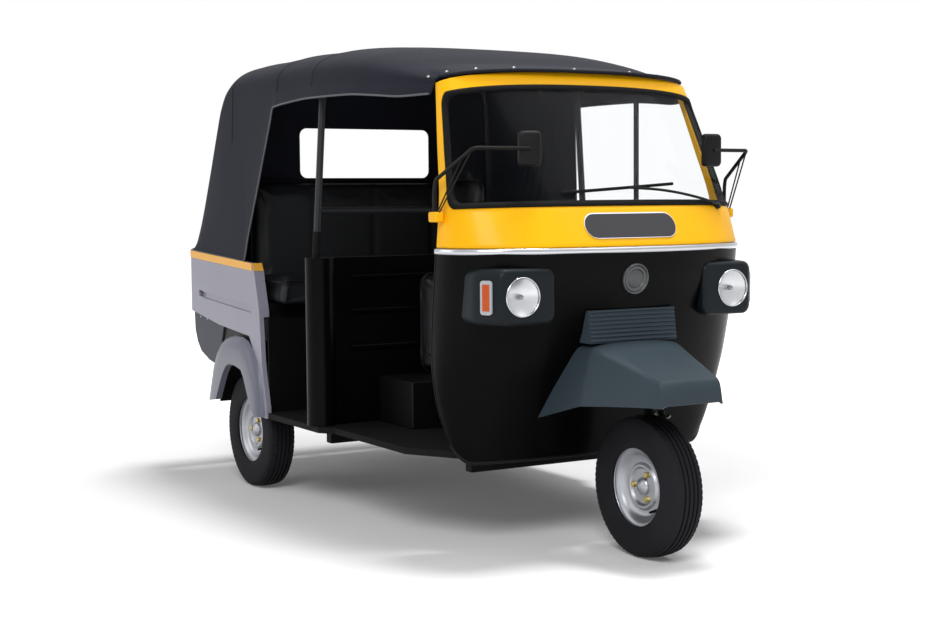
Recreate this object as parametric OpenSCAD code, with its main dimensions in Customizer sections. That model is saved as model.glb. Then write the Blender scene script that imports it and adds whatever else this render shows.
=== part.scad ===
// Three-wheeled passenger auto rickshaw with a fabric canopy.
// X points forward, Y to the vehicle's left, Z up; the origin is on the ground, mid-length.

/* [Overall] */
// Distance between the front and rear axles
wheelbase = 2050; // [1950:5:2150]
// Distance between the two rear wheel centres
track = 1200; // [1180:2:1230]
// From the front axle to the foremost edge of the cowl
front_overhang = 258; // [256:1:290]
// From the rear axle to the tail
rear_overhang = 590; // [560:5:640]
// Height of the floor's upper face
floor_z = 362; // [350:1:375]
// Thickness of the floor plate
floor_t = 24; // [16:1:30]
// Width over the rear body panels
body_w = 1380; // [1360:2:1420]
// Thickness of the rear body panels
panel_t = 20; // [14:1:24]

/* [Wheels] */
// Outer diameter of the tyres
tyre_d = 505; // [490:1:515]
// Width of the tyres
tyre_w = 118; // [108:1:124]
// Diameter of the rim at the tyre bead
bead_d = 264; // [255:1:270]
// Width of the rim over its flanges
rim_w = 84; // [76:1:90]
// Height of the rim flange above the bead
flange_h = 13; // [9:1:16]
// Diameter of the wheel hub
hub_d = 74; // [66:1:84]
// Diameter of the stub axles
stub_d = 28; // [24:1:34]
// Radial running clearance of shafts
running_gap = 0.05; // [0.02:0.01:0.09]

/* [Nose] */
// Height of the nose's lower edge
nose_bottom_z = 320; // [300:1:335]
// Height of the joint between the nose and the trim strip
belt_z = 1079; // [1060:1:1100]
// Width of the nose at the trim strip
nose_w = 1284; // [1240:2:1320]
// From the front axle back to the nose's side edges
nose_edge_back = 376; // [360:1:400]
// From the front axle back to the nose's foremost point
nose_front_back = 62; // [55:1:75]
// Thickness of the nose wall
nose_t = 12; // [8:1:16]
// Height of the bright trim strip
strip_h = 22; // [16:1:30]
// How far the trim strip stands proud
strip_proud = 6; // [3:1:10]

/* [Windscreen] */
// Height of the header's corners
header_z = 1690; // [1660:1:1720]
// Rise of the header at the middle
header_crown = 45; // [30:1:60]
// Thickness of the screen frame
frame_t = 28; // [20:1:34]
// Height of the painted band under the screen
band_h = 136; // [120:1:150]
// Height of the header band above the screen
header_h = 46; // [36:1:60]
// Width of the rubber gasket
gasket_w = 16; // [10:1:22]
// Thickness of the glass
glass_t = 6; // [4:1:8]

/* [Cowl and lamps] */
// Height of the cowl's front lip
cowl_lip_z = 634; // [620:1:650]
// Height of the fold between the cowl and its ribbed panel
cowl_fold_z = 749; // [735:1:765]
// Height of the ribbed panel's upper edge
cowl_top_z = 878; // [860:1:890]
// Width of the cowl at the fold
cowl_w = 392; // [370:2:410]
// Thickness of the cowl
cowl_t = 7; // [5:1:9]
// Number of ribs on the ribbed panel
cowl_ribs_n = 8; // [6:1:10]
// Diameter of the headlamp lenses
lamp_d = 130; // [115:1:140]
// Height of the headlamp centres
lamp_z = 936; // [920:1:945]
// Distance of the headlamp centres from the middle
lamp_y = 462; // [450:1:475]
// Height of the lamp bezels
bezel_h = 196; // [180:2:206]

/* [Cab] */
// Distance from the partition's middle back to the rear axle
partition_run = 720; // [700:2:750]
// Thickness of the partition wall
partition_t = 56; // [40:2:80]
// Height of the partition wall's upper edge
partition_z = 1040; // [1000:2:1060]
// Diameter of the partition's rounded end posts
post_d = 120; // [110:2:130]
// Diameter of the canopy poles
pole_d = 28; // [24:1:34]
// Height of the grab rail
rail_z = 1228; // [1200:2:1260]
// Height of the driver's seat box
driver_box_h = 190; // [160:2:220]
// Width of the driver's seat
driver_seat_w = 460; // [420:5:520]
// Thickness of the driver's cushion
driver_cushion_t = 105; // [80:5:120]

/* [Rear body] */
// From the rear axle forward to the seat riser
riser_run = 252; // [248:1:262]
// Height of the body panel's front upper corner
waist_front_z = 1000; // [990:1:1000]
// Height of the body panel's rear upper corner
waist_rear_z = 1038; // [1026:1:1038]
// Height of the body panel's lower edge at the tail
panel_bottom_z = 755; // [740:1:765]
// Height of the body panel's lower edge over the wheel
panel_mid_z = 681; // [676:1:700]
// Height of the rear seat box
seat_box_z = 826; // [800:2:840]
// Thickness of the rear cushion
rear_cushion_t = 118; // [100:2:130]
// Height of the engine hatch
hatch_h = 300; // [260:5:340]
// Width of the engine hatch
hatch_w = 820; // [700:10:900]

/* [Canopy] */
// Width over the canopy at its lower edge
canopy_w = 1376; // [1366:2:1380]
// Height of the canopy's highest point
roof_z = 1905; // [1880:1:1930]
// Thickness of the canopy
canopy_t = 6; // [5:1:8]
// Width of the rear window
window_w = 1100; // [1060:10:1140]
// Height of the rear window
window_h = 262; // [240:2:270]
// Height of the rear window's lower edge
window_z = 1362; // [1350:2:1370]
// Width of the window in the curtain behind the rear seat
sight_w = 672; // [600:4:700]
// Height of the window in the curtain behind the rear seat
sight_h = 226; // [200:2:240]
// Height of that window's lower edge
sight_z = 1371; // [1365:1:1380]

/* [Steering] */
// Rearward lean of the steering axis in degrees
rake = 18; // [15:0.5:20]
// Diameter of the steering column
column_d = 42; // [36:1:48]
// Sideways place of the fork arm from the wheel's middle
fork_side = 104; // [100:1:112]
// Span of the handlebar grips
bar_span = 580; // [520:10:600]

/* [Hidden] */
$fn = 48;
overrun = 5;
seat_gap = 0.3;
half = 1 / 2;
overall_l = front_overhang + wheelbase + rear_overhang;
front_axle_x = overall_l / 2 - front_overhang;
rear_axle_x = front_axle_x - wheelbase;
tail_x = -overall_l / 2;
partition_back = wheelbase - partition_run;
axle_z = tyre_d / 2;
side_y = body_w / 2;
inner_y = side_y - panel_t;
floor_low = floor_z - floor_t;

// A place given as a distance behind the front axle
function back(d) = front_axle_x - d;
function mix(a, b, t) = a + (b - a) * t;
function total(v) = v * [for (x = v) 1];
function reversed(v) = [for (i = [len(v) - 1:-1:0]) v[i]];
function signed_power(v, p) = sign(v) * pow(abs(v), p);
// The value of a row's column at height z, read along the rows
function column_at(rows, z, c) = lookup(z, [for (r = rows) [r[0], r[c]]]);

// Closed skin over matching rings; each ring runs out along a path and home along its inner twin
module skin(rings, closed = false) {
    n = len(rings[0]);
    m = len(rings);
    points = [for (r = rings) each r];
    sides = [for (j = [0:m - (closed ? 1 : 2)], i = [0:n - 1])
        let (a = j * n + i, b = j * n + (i + 1) % n,
            c = ((j + 1) % m) * n + (i + 1) % n, d = ((j + 1) % m) * n + i)
        each [[a, b, c], [a, c, d]]];
    caps = closed ? [] : [for (j = [0, m - 1], i = [0:n / 2 - 2])
        let (a = j * n + i, b = a + 1, c = j * n + n - 2 - i, d = c + 1)
        each j == 0 ? [[a, c, b], [a, d, c]] : [[a, b, c], [a, c, d]]];
    faces = concat(sides, caps);
    volume = total([for (f = faces) points[f[0]] * cross(points[f[1]], points[f[2]])]);
    polyhedron(points, volume > 0 ? [for (f = faces) reversed(f)] : faces, convexity = 8);
}

// Straight round bar between two points
module bar(from, to, d) {
    run = to - from;
    flat = norm([run[0], run[1]]);
    translate(from)
        rotate([0, atan2(flat, run[2]), atan2(run[1], run[0])])
            cylinder(d = d, h = norm(run));
}

// Round rod swept along a list of points
rod_sides = 10;
function rod_axis(path, i) =
    let (a = path[max(i - 1, 0)], b = path[min(i + 1, len(path) - 1)]) (b - a) / norm(b - a);
function rod_ring(p, axis, up, d) =
    let (s = cross(axis, up) / norm(cross(axis, up)), v = cross(s, axis))
    [for (k = [0:rod_sides - 1])
        p + (s * cos(360 * k / rod_sides) + v * sin(360 * k / rod_sides)) * d / 2];
module rod(path, d, up) {
    skin([for (i = [0:len(path) - 1]) rod_ring(path[i], rod_axis(path, i), up, d)]);
}

// Upright helix of wire standing on the point foot
function coil_path(r, h, turns, steps) =
    [for (i = [0:turns * steps])
        let (a = 360 * i / steps) [r * cos(a), r * sin(a), h * i / (turns * steps)]];

// Rectangle with rounded corners, centred
module round_rect(w, h, r) {
    square([w - 2 * r, h], center = true);
    square([w, h - 2 * r], center = true);
    for (x = [-1, 1], y = [-1, 1])
        translate([x * (w / 2 - r), y * (h / 2 - r)])
            circle(r);
}

// Upright block between two corners
module block(low, high) {
    translate(low)
        cube(high - low);
}

module both_sides() {
    children();
    mirror([0, 1, 0])
        children();
}

// Front shell: the nose and the screen frame share one surface
nose_power = 2.4;
nose_depth = nose_edge_back - nose_front_back;
nose_h = belt_z - nose_bottom_z;
frame_low = belt_z + strip_h;
frame_h = header_z - frame_low;
// Columns: height share, width share, edge set-back share, front set-back share
nose_shares = [[0, 0.835, 0.118, 0.869], [0.145, 0.911, 0.118, 0.758], [0.329, 0.974, 0.124, 0.567],
    [0.5, 0.997, 0.124, 0.344], [0.632, 1, 0.108, 0.2], [0.738, 1, 0.083, 0.115],
    [0.875, 1, 0.038, 0.032], [1, 1, 0, 0]];
frame_shares = [[0, 1, 0, 0], [0.244, 0.974, 0.029, 0.232], [0.626, 0.922, 0.236, 0.6],
    [1, 0.866, 0.465, 0.997], [1.085, 0.853, 0.522, 1.09]];
function shell_row(s, low, h) = [low + s[0] * h, s[1] * nose_w / 2,
    nose_edge_back + s[2] * nose_depth, nose_front_back + s[3] * nose_depth];
shell_rows = concat([for (s = nose_shares) shell_row(s, nose_bottom_z, nose_h)],
    [for (s = frame_shares) shell_row(s, frame_low, frame_h)]);
// A point of the shell: turn runs from -90 at the right edge to 90 at the left edge
function shell_point(turn, z, inset) =
    let (w = column_at(shell_rows, z, 1) - inset, e = column_at(shell_rows, z, 2),
        f = column_at(shell_rows, z, 3) + inset, p = 2 / nose_power)
    [back(mix(e, f, pow(cos(turn), p))), w * signed_power(sin(turn), p), z];
// The shell's X at a given Y and Z
function shell_x(y, z) =
    let (w = column_at(shell_rows, z, 1), e = column_at(shell_rows, z, 2),
        f = column_at(shell_rows, z, 3))
    back(mix(e, f, pow(1 - pow(min(abs(y) / w, 1), nose_power), 1 / nose_power)));
shell_steps = 24;
shell_turns = [for (i = [0:shell_steps]) -90 + 180 * i / shell_steps];
function shell_ring(z, out, in) = concat([for (t = shell_turns) shell_point(t, z, out)],
    reversed([for (t = shell_turns) shell_point(t, z, in)]));

// Nose: a pressed steel shell with holes for the lamps and a slot for the steering column
slot_w = 96;
slot_wide_w = 256;
slot_low_z = 540;
slot_mid_z = 676;
slot_top_z = 842;
nose_levels_shares = [0, 0.07, 0.145, 0.235, 0.329, 0.415, 0.5, 0.57, 0.632, 0.738, 0.875, 1];
module nose_shell() color("#101010")
    difference() {
        skin([for (s = nose_levels_shares) shell_ring(nose_bottom_z + s * nose_h, 0, nose_t)]);
        both_sides()
            lamp_block(seat_gap);
        block([back(nose_depth), -slot_wide_w / 2, slot_low_z], [front_axle_x, slot_wide_w / 2, slot_mid_z]);
        block([back(nose_depth), -slot_w / 2, slot_low_z], [front_axle_x, slot_w / 2, slot_top_z]);
    }

module chrome_strip() color("#c8c8cc")
    skin([for (s = [0, half, 1])
        shell_ring(belt_z + s * strip_h, s == half ? -strip_proud : -strip_proud * half, nose_t)]);

// Outline round the screen, as turn and height; the top edge rises by the crown
// Half angle of the opening, angle of its corners and the glass's step inside it, in degrees
pillar_angle = 81;
corner_angle = 7;
glass_step_angle = 3;
glass_fit_angle = 0.1;
corner_r = 46;
wide_steps = 16;
tall_steps = 4;
arc_steps = 4;
function edge_half(turn_max, low, high, turn_r, r) = concat(
    [for (i = [0:arc_steps]) let (a = 90 * i / arc_steps)
        [turn_max - turn_r * (1 - sin(a)), low + r * (1 - cos(a))]],
    [for (i = [1:tall_steps - 1]) [turn_max, mix(low + r, high - r, i / tall_steps)]],
    [for (i = [0:arc_steps]) let (a = 90 * i / arc_steps)
        [turn_max - turn_r * (1 - cos(a)), high - r * (1 - sin(a))]]);
function edge_loop(half_edge) =
    let (low = half_edge[0], high = half_edge[len(half_edge) - 1]) concat(
        [for (i = [1 - wide_steps:wide_steps - 1]) [low[0] * i / wide_steps, low[1]]],
        half_edge,
        [for (i = [wide_steps - 1:-1:1 - wide_steps]) [high[0] * i / wide_steps, high[1]]],
        [for (e = reversed(half_edge)) [-e[0], e[1]]]);
function crowned(e, inset) = shell_point(e[0],
    e[1] + header_crown * cos(e[0]) * max(0, e[1] - frame_low) / frame_h, inset);
opening_low = frame_low + band_h;
opening_high = header_z - header_h;
opening_half = edge_half(pillar_angle, opening_low, opening_high, corner_angle, corner_r);
glass_angle = pillar_angle - glass_step_angle;
glass_half = edge_half(glass_angle, opening_low + gasket_w, opening_high - gasket_w,
    corner_angle, corner_r - gasket_w * half);
pane_half = edge_half(glass_angle - glass_fit_angle, opening_low + gasket_w + seat_gap,
    opening_high - gasket_w - seat_gap, corner_angle, corner_r - gasket_w * half);
frame_half = edge_half(90, frame_low, header_z, 0, 0);
module loop_band(outer, inner, front, rear)
    skin([for (i = [0:len(outer) - 1]) [crowned(outer[i], front), crowned(inner[i], front),
        crowned(inner[i], rear), crowned(outer[i], rear)]], closed = true);

module screen_frame() color("#ffc926")
    loop_band(edge_loop(frame_half), edge_loop(opening_half), 0, frame_t);

gasket_proud = 5;
module screen_gasket() color("#161616") {
    outer = edge_loop(opening_half);
    inner = edge_loop(glass_half);
    skin([for (i = [0:len(outer) - 1]) [crowned(inner[i], -gasket_proud), crowned(outer[i], -gasket_proud),
        crowned(outer[i], 0), crowned(outer[i], frame_t), crowned(inner[i], frame_t),
        crowned(inner[i], 2 * glass_t), crowned(inner[i], glass_t)]], closed = true);
}

module windscreen() color("#9fb0b8", 0.4)
    skin([for (e = pane_half) let (turns = [for (i = [-wide_steps:wide_steps]) e[0] * i / wide_steps])
        concat([for (t = turns) crowned([t, e[1]], glass_t)],
            reversed([for (t = turns) crowned([t, e[1]], 2 * glass_t)]))]);

// Cowl over the front wheel: a folded skirt whose rear edge follows the nose
cowl_lip_h = 70;
cowl_tip_w = 554;
cowl_tip_z = 482;
cowl_rise = 12;
cowl_fold_back = 67;
cowl_run = front_overhang + cowl_fold_back;
cowl_drop = cowl_fold_z - cowl_lip_z;
cowl_low_z = cowl_lip_z - cowl_lip_h;
// Columns: place from lip to fold, top half width, crown height, low half width, low edge, all shares
cowl_shares = [[0, 0.6, -0.5, 0.62, 0], [0.015, 0.64, 0, 0.7, 0], [0.1, 0.68, 0.1, 0.76, 0],
    [0.55, 0.84, 0.55, 1, -0.1], [1, 1, 1, 1.24, -0.25]];
cowl_top_steps = 6;
cowl_side_steps = 3;
// Section from one low edge over the top to the other, as Y and Z
function cowl_section(w_top, z_top, w_low, z_low, rise) = concat(
    [for (i = [0:cowl_side_steps - 1]) let (t = i / cowl_side_steps)
        [-mix(w_low, w_top, t), mix(z_low, z_top, t)]],
    [for (i = [0:cowl_top_steps]) let (t = 2 * i / cowl_top_steps - 1)
        [w_top * t, z_top + rise * (abs(t) < 0.9 ? 1 : 0)]],
    [for (i = [cowl_side_steps - 1:-1:0]) let (t = i / cowl_side_steps)
        [mix(w_low, w_top, t), mix(z_low, z_top, t)]]);
function cowl_station(s, t) = cowl_section(s[1] * cowl_w / 2 - t,
    cowl_lip_z + s[2] * cowl_drop - t, s[3] * cowl_w / 2 - t, cowl_low_z + s[4] * cowl_lip_h, cowl_rise);
function cowl_ring(s) = let (x = back(-front_overhang) - s[0] * cowl_run) concat(
    [for (p = cowl_station(s, 0)) [x, p[0], p[1]]],
    reversed([for (p = cowl_station(s, cowl_t)) [x - (s[0] < 0.05 ? cowl_t : 0), p[0], p[1]]]));
function cowl_end(t) = cowl_section(cowl_w / 2 - t, cowl_fold_z - t, cowl_tip_w / 2 - t, cowl_tip_z,
    cowl_rise);
function on_nose(p) = [shell_x(p[0], p[1]) - nose_t * half, p[0], p[1]];
cowl_slot_back = 100;
module cowl() color("#414d54")
    difference() {
        skin(concat([for (s = cowl_shares) cowl_ring(s)],
            [concat([for (p = cowl_end(0)) on_nose(p)], reversed([for (p = cowl_end(cowl_t)) on_nose(p)]))]));
        skin([for (s = nose_levels_shares)
            shell_ring(nose_bottom_z + s * nose_h, -seat_gap * half, 2 * nose_t)]);
        block([back(nose_depth), -slot_w / 2, cowl_fold_z - 3 * cowl_t],
            [back(cowl_slot_back), slot_w / 2, cowl_fold_z + 3 * cowl_t]);
    }

// Ribbed panel between the fold and the nose
rib_depth = 5;
ribs_top_back = 88;
ribs_levels = 4 * cowl_ribs_n;
ribs_low_z = cowl_fold_z + cowl_rise + seat_gap;
function rib_path(z, t) =
    let (w = cowl_w / 2 - cowl_t - t, s = (z - ribs_low_z) / (cowl_top_z - ribs_low_z),
        step = t == 0 && round(s * ribs_levels) % 4 < 2 ? rib_depth : 0,
        x = back(mix(cowl_fold_back + rib_depth, ribs_top_back, s)) - t - step,
        rear = shell_x(w, z) + 2 * seat_gap)
    [[rear, -w, z], [x, -w, z], [x, w, z], [rear, w, z]];
module cowl_ribs() color("#3a454c")
    skin([for (i = [0:ribs_levels]) let (z = mix(ribs_low_z, cowl_top_z, i / ribs_levels))
        concat(rib_path(z, 0), reversed(rib_path(z, cowl_t)))]);

// Headlamp housings that wrap the corners of the nose
bezel_front_back = 90;
bezel_corner_back = 193;
bezel_rear_back = 300;
bezel_in_y = 326;
bezel_mid_y = 548;
bezel_out_y = 602;
bezel_r = 34;
module lamp_block(grow) {
    intersection() {
        translate([0, 0, lamp_z - bezel_h / 2 - grow])
            linear_extrude(bezel_h + 2 * grow)
                polygon([[back(bezel_front_back), bezel_in_y - grow],
                    [back(bezel_front_back), bezel_mid_y],
                    [back(bezel_corner_back), bezel_out_y + grow],
                    [back(bezel_rear_back) - grow, bezel_out_y + grow],
                    [back(bezel_rear_back) - grow, bezel_in_y - grow]]);
        translate([back(bezel_rear_back) - overrun, (bezel_in_y + bezel_out_y) / 2, lamp_z])
            rotate([90, 0, 90])
                linear_extrude(bezel_rear_back - bezel_front_back + 2 * overrun)
                    round_rect(bezel_out_y - bezel_in_y + 2 * grow, bezel_h + 2 * grow, bezel_r);
    }
}
lens_depth = 24;
lens_dome = 12;
module at_lamp()
    translate([back(bezel_front_back), lamp_y, lamp_z])
        rotate([0, 90, 0])
            children();
module lamp_bezels() color("#465258")
    both_sides()
        difference() {
            lamp_block(0);
            at_lamp()
                translate([0, 0, -lens_depth])
                    cylinder(d = lamp_d + 2 * seat_gap, h = lens_depth + overrun);
        }
lens_ball_r = (pow(lamp_d / 2, 2) + pow(lens_dome, 2)) / (2 * lens_dome);
module lamp_lenses() color("#e8eef2")
    both_sides()
        at_lamp()
            intersection() {
                translate([0, 0, -lens_depth])
                    cylinder(d = lamp_d, h = lens_depth + lens_dome);
                translate([0, 0, lens_dome - lens_ball_r])
                    sphere(lens_ball_r, $fn = 96);
            }
indicator_w = 46;
indicator_h = 118;
indicator_t = 8;
indicator_turn = atan2(bezel_out_y - bezel_mid_y, bezel_corner_back - bezel_front_back);
module indicators() color("#f08c28")
    both_sides()
        translate([back((bezel_front_back + bezel_corner_back) / 2), (bezel_mid_y + bezel_out_y) / 2, lamp_z])
            rotate([0, 0, -indicator_turn])
                rotate([-90, 0, 0])
                    linear_extrude(indicator_t)
                        round_rect(indicator_w, indicator_h, indicator_w / 4);

// Mirrors on bent arms from the screen pillars; the right head is turned outwards
mirror_arm_d = 14;
mirror_head = [24, 80, 126];
mirror_root_back = 366;
mirror_root_z = 1218;
mirror_rise_h = 118;
mirror_reach_back = 177;
mirror_reach_y = 603;
mirror_reach_h = 229;
mirror_left_y = 433;
mirror_right_y = 376;
mirror_right_angle = -59;
elbow_share = 1.2;
mirror_foot = [34, 22, 44];
module mirror_arm(tip_y, turn) {
    side = column_at(shell_rows, mirror_root_z - mirror_foot[2] / 2, 1) + seat_gap;
    root = [back(mirror_root_back), side + mirror_foot[1] / 2, mirror_root_z];
    knee = [root[0], root[1], mirror_root_z + mirror_rise_h];
    elbow = [back(mirror_reach_back), mirror_reach_y, mirror_root_z + mirror_reach_h];
    tip = [elbow[0], tip_y, elbow[2]];
    block(root - mirror_foot / 2, root + mirror_foot / 2);
    for (span = [[root, knee], [knee, elbow], [elbow, tip]])
        bar(span[0], span[1], mirror_arm_d);
    for (p = [knee, elbow])
        translate(p)
            sphere(d = mirror_arm_d * elbow_share);
    translate(tip)
        rotate([90, 0, 90 + turn])
            translate([0, 0, -mirror_head[0] / 2])
                linear_extrude(mirror_head[0])
                    round_rect(mirror_head[1], mirror_head[2], mirror_head[0] / 2);
}
module mirror_left() color("#1b1b1b")
    mirror_arm(mirror_left_y, 0);
module mirror_right() color("#1b1b1b")
    mirror([0, 1, 0])
        mirror_arm(mirror_right_y, mirror_right_angle);

// Ladder frame under the floor
rail_y = 330;
rail_w = 50;
rail_h = 58;
rail_low = floor_low - rail_h;
chassis_front_back = 430;
eye_plate_l = 60;
chassis_rear_back = wheelbase + rear_overhang - eye_plate_l;
cross_w = 44;
arm_run = 450;
arm_cross_back = wheelbase - arm_run;
arm_cross_y = 505;
engine_gap = 90;
engine_l = 374;
bearer_backs = [wheelbase + engine_gap, wheelbase + engine_gap + engine_l - cross_w];
front_cross_y = 470;
outrigger_y = 600;
eye_plate_t = 24;
eye_bore_d = 26;
tower_w = 44;
tower_z = 606;
tower_plate_t = 30;
// Columns: distance behind the front axle, half length
crosses = [[chassis_front_back, front_cross_y], [partition_back, outrigger_y], [arm_cross_back, arm_cross_y],
    [bearer_backs[0], rail_y], [bearer_backs[1], rail_y], [chassis_rear_back - cross_w, rail_y]];
module chassis() color("#232323")
    difference() {
        union() {
            for (s = [-1, 1])
                block([back(chassis_rear_back), s * rail_y - rail_w / 2, rail_low],
                    [back(chassis_front_back), s * rail_y + rail_w / 2, floor_low]);
            for (c = crosses)
                block([back(c[0]) - cross_w, -c[1], rail_low], [back(c[0]), c[1], floor_low]);
            block([back(chassis_rear_back + eye_plate_l), -eye_plate_t / 2, rail_low],
                [back(chassis_rear_back), eye_plate_t / 2, floor_low]);
        }
        translate([back(chassis_rear_back + eye_plate_l / 2), eye_plate_t / 2 + overrun,
            rail_low + rail_h / 2])
            rotate([90, 0, 0])
                cylinder(d = eye_bore_d, h = eye_plate_t + 2 * overrun);
    }

// Towers on the frame rails over the rear springs
module spring_towers() color("#232323")
    both_sides() {
        block([rear_axle_x - tower_w / 2, rail_y - rail_w / 2, floor_low],
            [rear_axle_x + tower_w / 2, rail_y + rail_w / 2, tower_z]);
        block([rear_axle_x - tower_w / 2, rail_y - rail_w / 2, tower_z - tower_plate_t],
            [rear_axle_x + tower_w / 2, arm_y + tower_w / 2, tower_z]);
    }

// Floor plate: follows the nose in front and stops short of the rear tyres
floor_cab_y = 640;
sill_front_back = 620;
sill_y = 686;
tyre_room = 18;
floor_tyre_y = track / 2 - tyre_w / 2 - tyre_room;
floor_front_y = nose_shares[0][1] * nose_w / 2 - nose_t - seat_gap;
floor_notch_back = nose_edge_back + nose_shares[0][2] * nose_depth + overrun;
floor_angle = 85;
function floor_side(d, y) = [[back(floor_notch_back), floor_front_y], [back(sill_front_back), floor_cab_y],
    [back(partition_back - post_d), floor_cab_y], [back(partition_back - post_d / 2), y],
    [back(d), y], [back(d), inner_y], [back(riser_back), inner_y]];
module floor_outline() {
    front = [for (t = shell_turns) if (abs(t) < floor_angle)
        shell_point(t, nose_bottom_z, nose_t + seat_gap)];
    left = floor_side(riser_back - overrun, inner_y - seat_gap);
    right = floor_side(panel_foot_back - overrun, sill_y);
    polygon(concat([for (p = front) [p[0], p[1]]], left, reversed([for (p = right) [p[0], -p[1]]])));
}
module floor_pan() color("#2a2a2a")
    translate([0, 0, floor_low])
        linear_extrude(floor_t)
            floor_outline();

// Steering axis: passes through the front wheel's centre and leans back
module on_steering_axis()
    translate([front_axle_x, 0, axle_z])
        rotate([0, -rake, 0])
            children();
housing_low = 545;
housing_l = 221;
housing_t = 9;
strut_w = 46;
strut_t = 14;
strut_foot_back = 430;
strut_at = 700;
module column_housing() color("#202020") {
    foot = [back(strut_foot_back), 0, floor_z + strut_t];
    top = [front_axle_x - strut_at * sin(rake), 0, axle_z + strut_at * cos(rake)];
    difference() {
        union() {
            on_steering_axis()
                translate([0, 0, housing_low])
                    cylinder(d = column_d + 2 * housing_t, h = housing_l);
            translate(foot)
                rotate([0, atan2(top[0] - foot[0], top[2] - foot[2]), 0])
                    translate([-strut_t / 2, -strut_w / 2, 0])
                        cube([strut_t, strut_w, norm(top - foot)]);
            block([foot[0] - strut_w, -strut_w, floor_z],
                [foot[0] + strut_w / 2, strut_w, floor_z + strut_t * 1.5]);
        }
        on_steering_axis()
            translate([0, 0, housing_low - column_d])
                cylinder(d = column_d + 2 * running_gap, h = housing_l + 2 * column_d);
    }
}

// Partition behind the driver: a wall with rounded end posts and pressed ribs
post_proud = 10;
post_y = side_y + post_proud - post_d / 2;
wall_ribs_shares = [0.46, 0.68, 0.885];
wall_rib_d = 30;
wall_rib_y = 520;
module partition() color("#141414") {
    translate([0, 0, floor_z]) {
        for (s = [-1, 1])
            translate([back(partition_back), s * post_y, 0])
                cylinder(d = post_d, h = partition_z - floor_z);
        block([back(partition_back) - partition_t / 2, -post_y, 0],
            [back(partition_back) + partition_t / 2, post_y, partition_z - floor_z]);
        for (s = wall_ribs_shares)
            translate([back(partition_back) + partition_t / 2, -wall_rib_y, s * (partition_z - floor_z)])
                rotate([-90, 0, 0])
                    cylinder(d = wall_rib_d, h = 2 * wall_rib_y);
    }
}

// Canopy: inverted U sections set along the vehicle
canopy_tail_gap = 3;
canopy_front_back = nose_edge_back + frame_shares[3][2] * nose_depth;
canopy_l = wheelbase + rear_overhang - canopy_tail_gap - canopy_front_back;
canopy_low_z = 1003;
canopy_h = roof_z - canopy_low_z;
canopy_power = 2.8;
shoulder_share = 0.968;
// Columns, all shares: length, half width, low edge, shoulder, crown
canopy_shares = [[0, 0.842, 0.718, 0.762, 0.815], [0.057, 0.905, 0.715, 0.773, 0.86],
    [0.137, 0.952, 0.729, 0.79, 0.92], [0.227, 0.981, 0.743, 0.806, 0.965],
    [0.38, 1, 0.747, 0.817, 0.992], [0.463, 1, 0.74, 0.817, 1], [0.5385, 1, 0.7265, 0.817, 1],
    [0.557, 1, 0.646, 0.817, 1], [0.628, 1, 0.33, 0.817, 1], [0.6755, 1, 0.122, 0.815, 1],
    [0.703, 1, 0.0035, 0.815, 1], [0.77, 1, 0.0116, 0.81, 0.992], [0.8125, 1, 0.0166, 0.773, 0.959],
    [0.841, 1, 0.0205, 0.7, 0.9], [0.86, 1, 0.0227, 0.615, 0.817], [0.907, 1, 0.0283, 0.4, 0.563],
    [0.9636, 1, 0.0351, 0.16, 0.257], [1, 1, 0.0396, 0.05, 0.065]];
canopy_split = 6;
canopy_side_steps = 4;
canopy_top_steps = 16;
// Section as Y and Z from the right low edge over the crown, drawn in by t
function canopy_section(s, t) =
    let (w = s[1] * canopy_w / 2 - t, ws = w * shoulder_share, low = canopy_low_z + s[2] * canopy_h,
        sh = canopy_low_z + s[3] * canopy_h - t * half, top = canopy_low_z + s[4] * canopy_h - t,
        p = 2 / canopy_power,
        side = [for (i = [0:canopy_side_steps - 1]) let (k = i / canopy_side_steps)
            [mix(w, ws, k), mix(low, sh, k)]],
        arch = [for (i = [0:canopy_top_steps]) let (a = 180 * i / canopy_top_steps)
            [ws * signed_power(cos(a), p), sh + (top - sh) * pow(sin(a), p)]])
    concat([for (q = side) [-q[0], q[1]]], reversed(arch), reversed(side));
function canopy_x(s, y) = let (x = back(canopy_front_back + s[0] * canopy_l))
    s[0] > 0 ? x : shell_x(y * nose_w / canopy_w * 1.12, header_z);
rear_slant_share = 0.78;
function canopy_ring(s) = concat([for (p = canopy_section(s, 0)) [canopy_x(s, p[0]), p[0], p[1]]],
    reversed([for (p = canopy_section(s, canopy_t))
        [canopy_x(s, p[0]) + (s[0] > rear_slant_share ? canopy_t : 0), p[0], p[1]]]));
module canopy_roof() color("#2b2c34")
    skin([for (i = [0:canopy_split]) canopy_ring(canopy_shares[i])]);
window_r = 60;
module canopy_rear() color("#3b3d45")
    difference() {
        skin([for (i = [canopy_split:len(canopy_shares) - 1]) canopy_ring(canopy_shares[i])]);
        translate([tail_x - overrun, 0, window_z + window_h / 2])
            rotate([90, 0, 90])
                linear_extrude(rear_overhang)
                    round_rect(window_w, window_h, window_r);
    }

// Curtain that closes the passengers' left side
curtain_front_back = partition_back + post_d / 2;
curtain_low_z = 924;
curtain_h = 762;
curtain_lean = 1.25;
curtain_rear_shares = [0.72, 0.545];
function canopy_place(share) = back(canopy_front_back + share * canopy_l);
module side_curtain() color("#33353d")
    translate([0, inner_y, curtain_low_z])
        rotate([90 + curtain_lean, 0, 0])
            linear_extrude(canopy_t)
                polygon([[back(curtain_front_back), 0], [back(curtain_front_back), curtain_h],
                    [canopy_place(curtain_rear_shares[1]), curtain_h],
                    [canopy_place(curtain_rear_shares[0]), 0]]);

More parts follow.
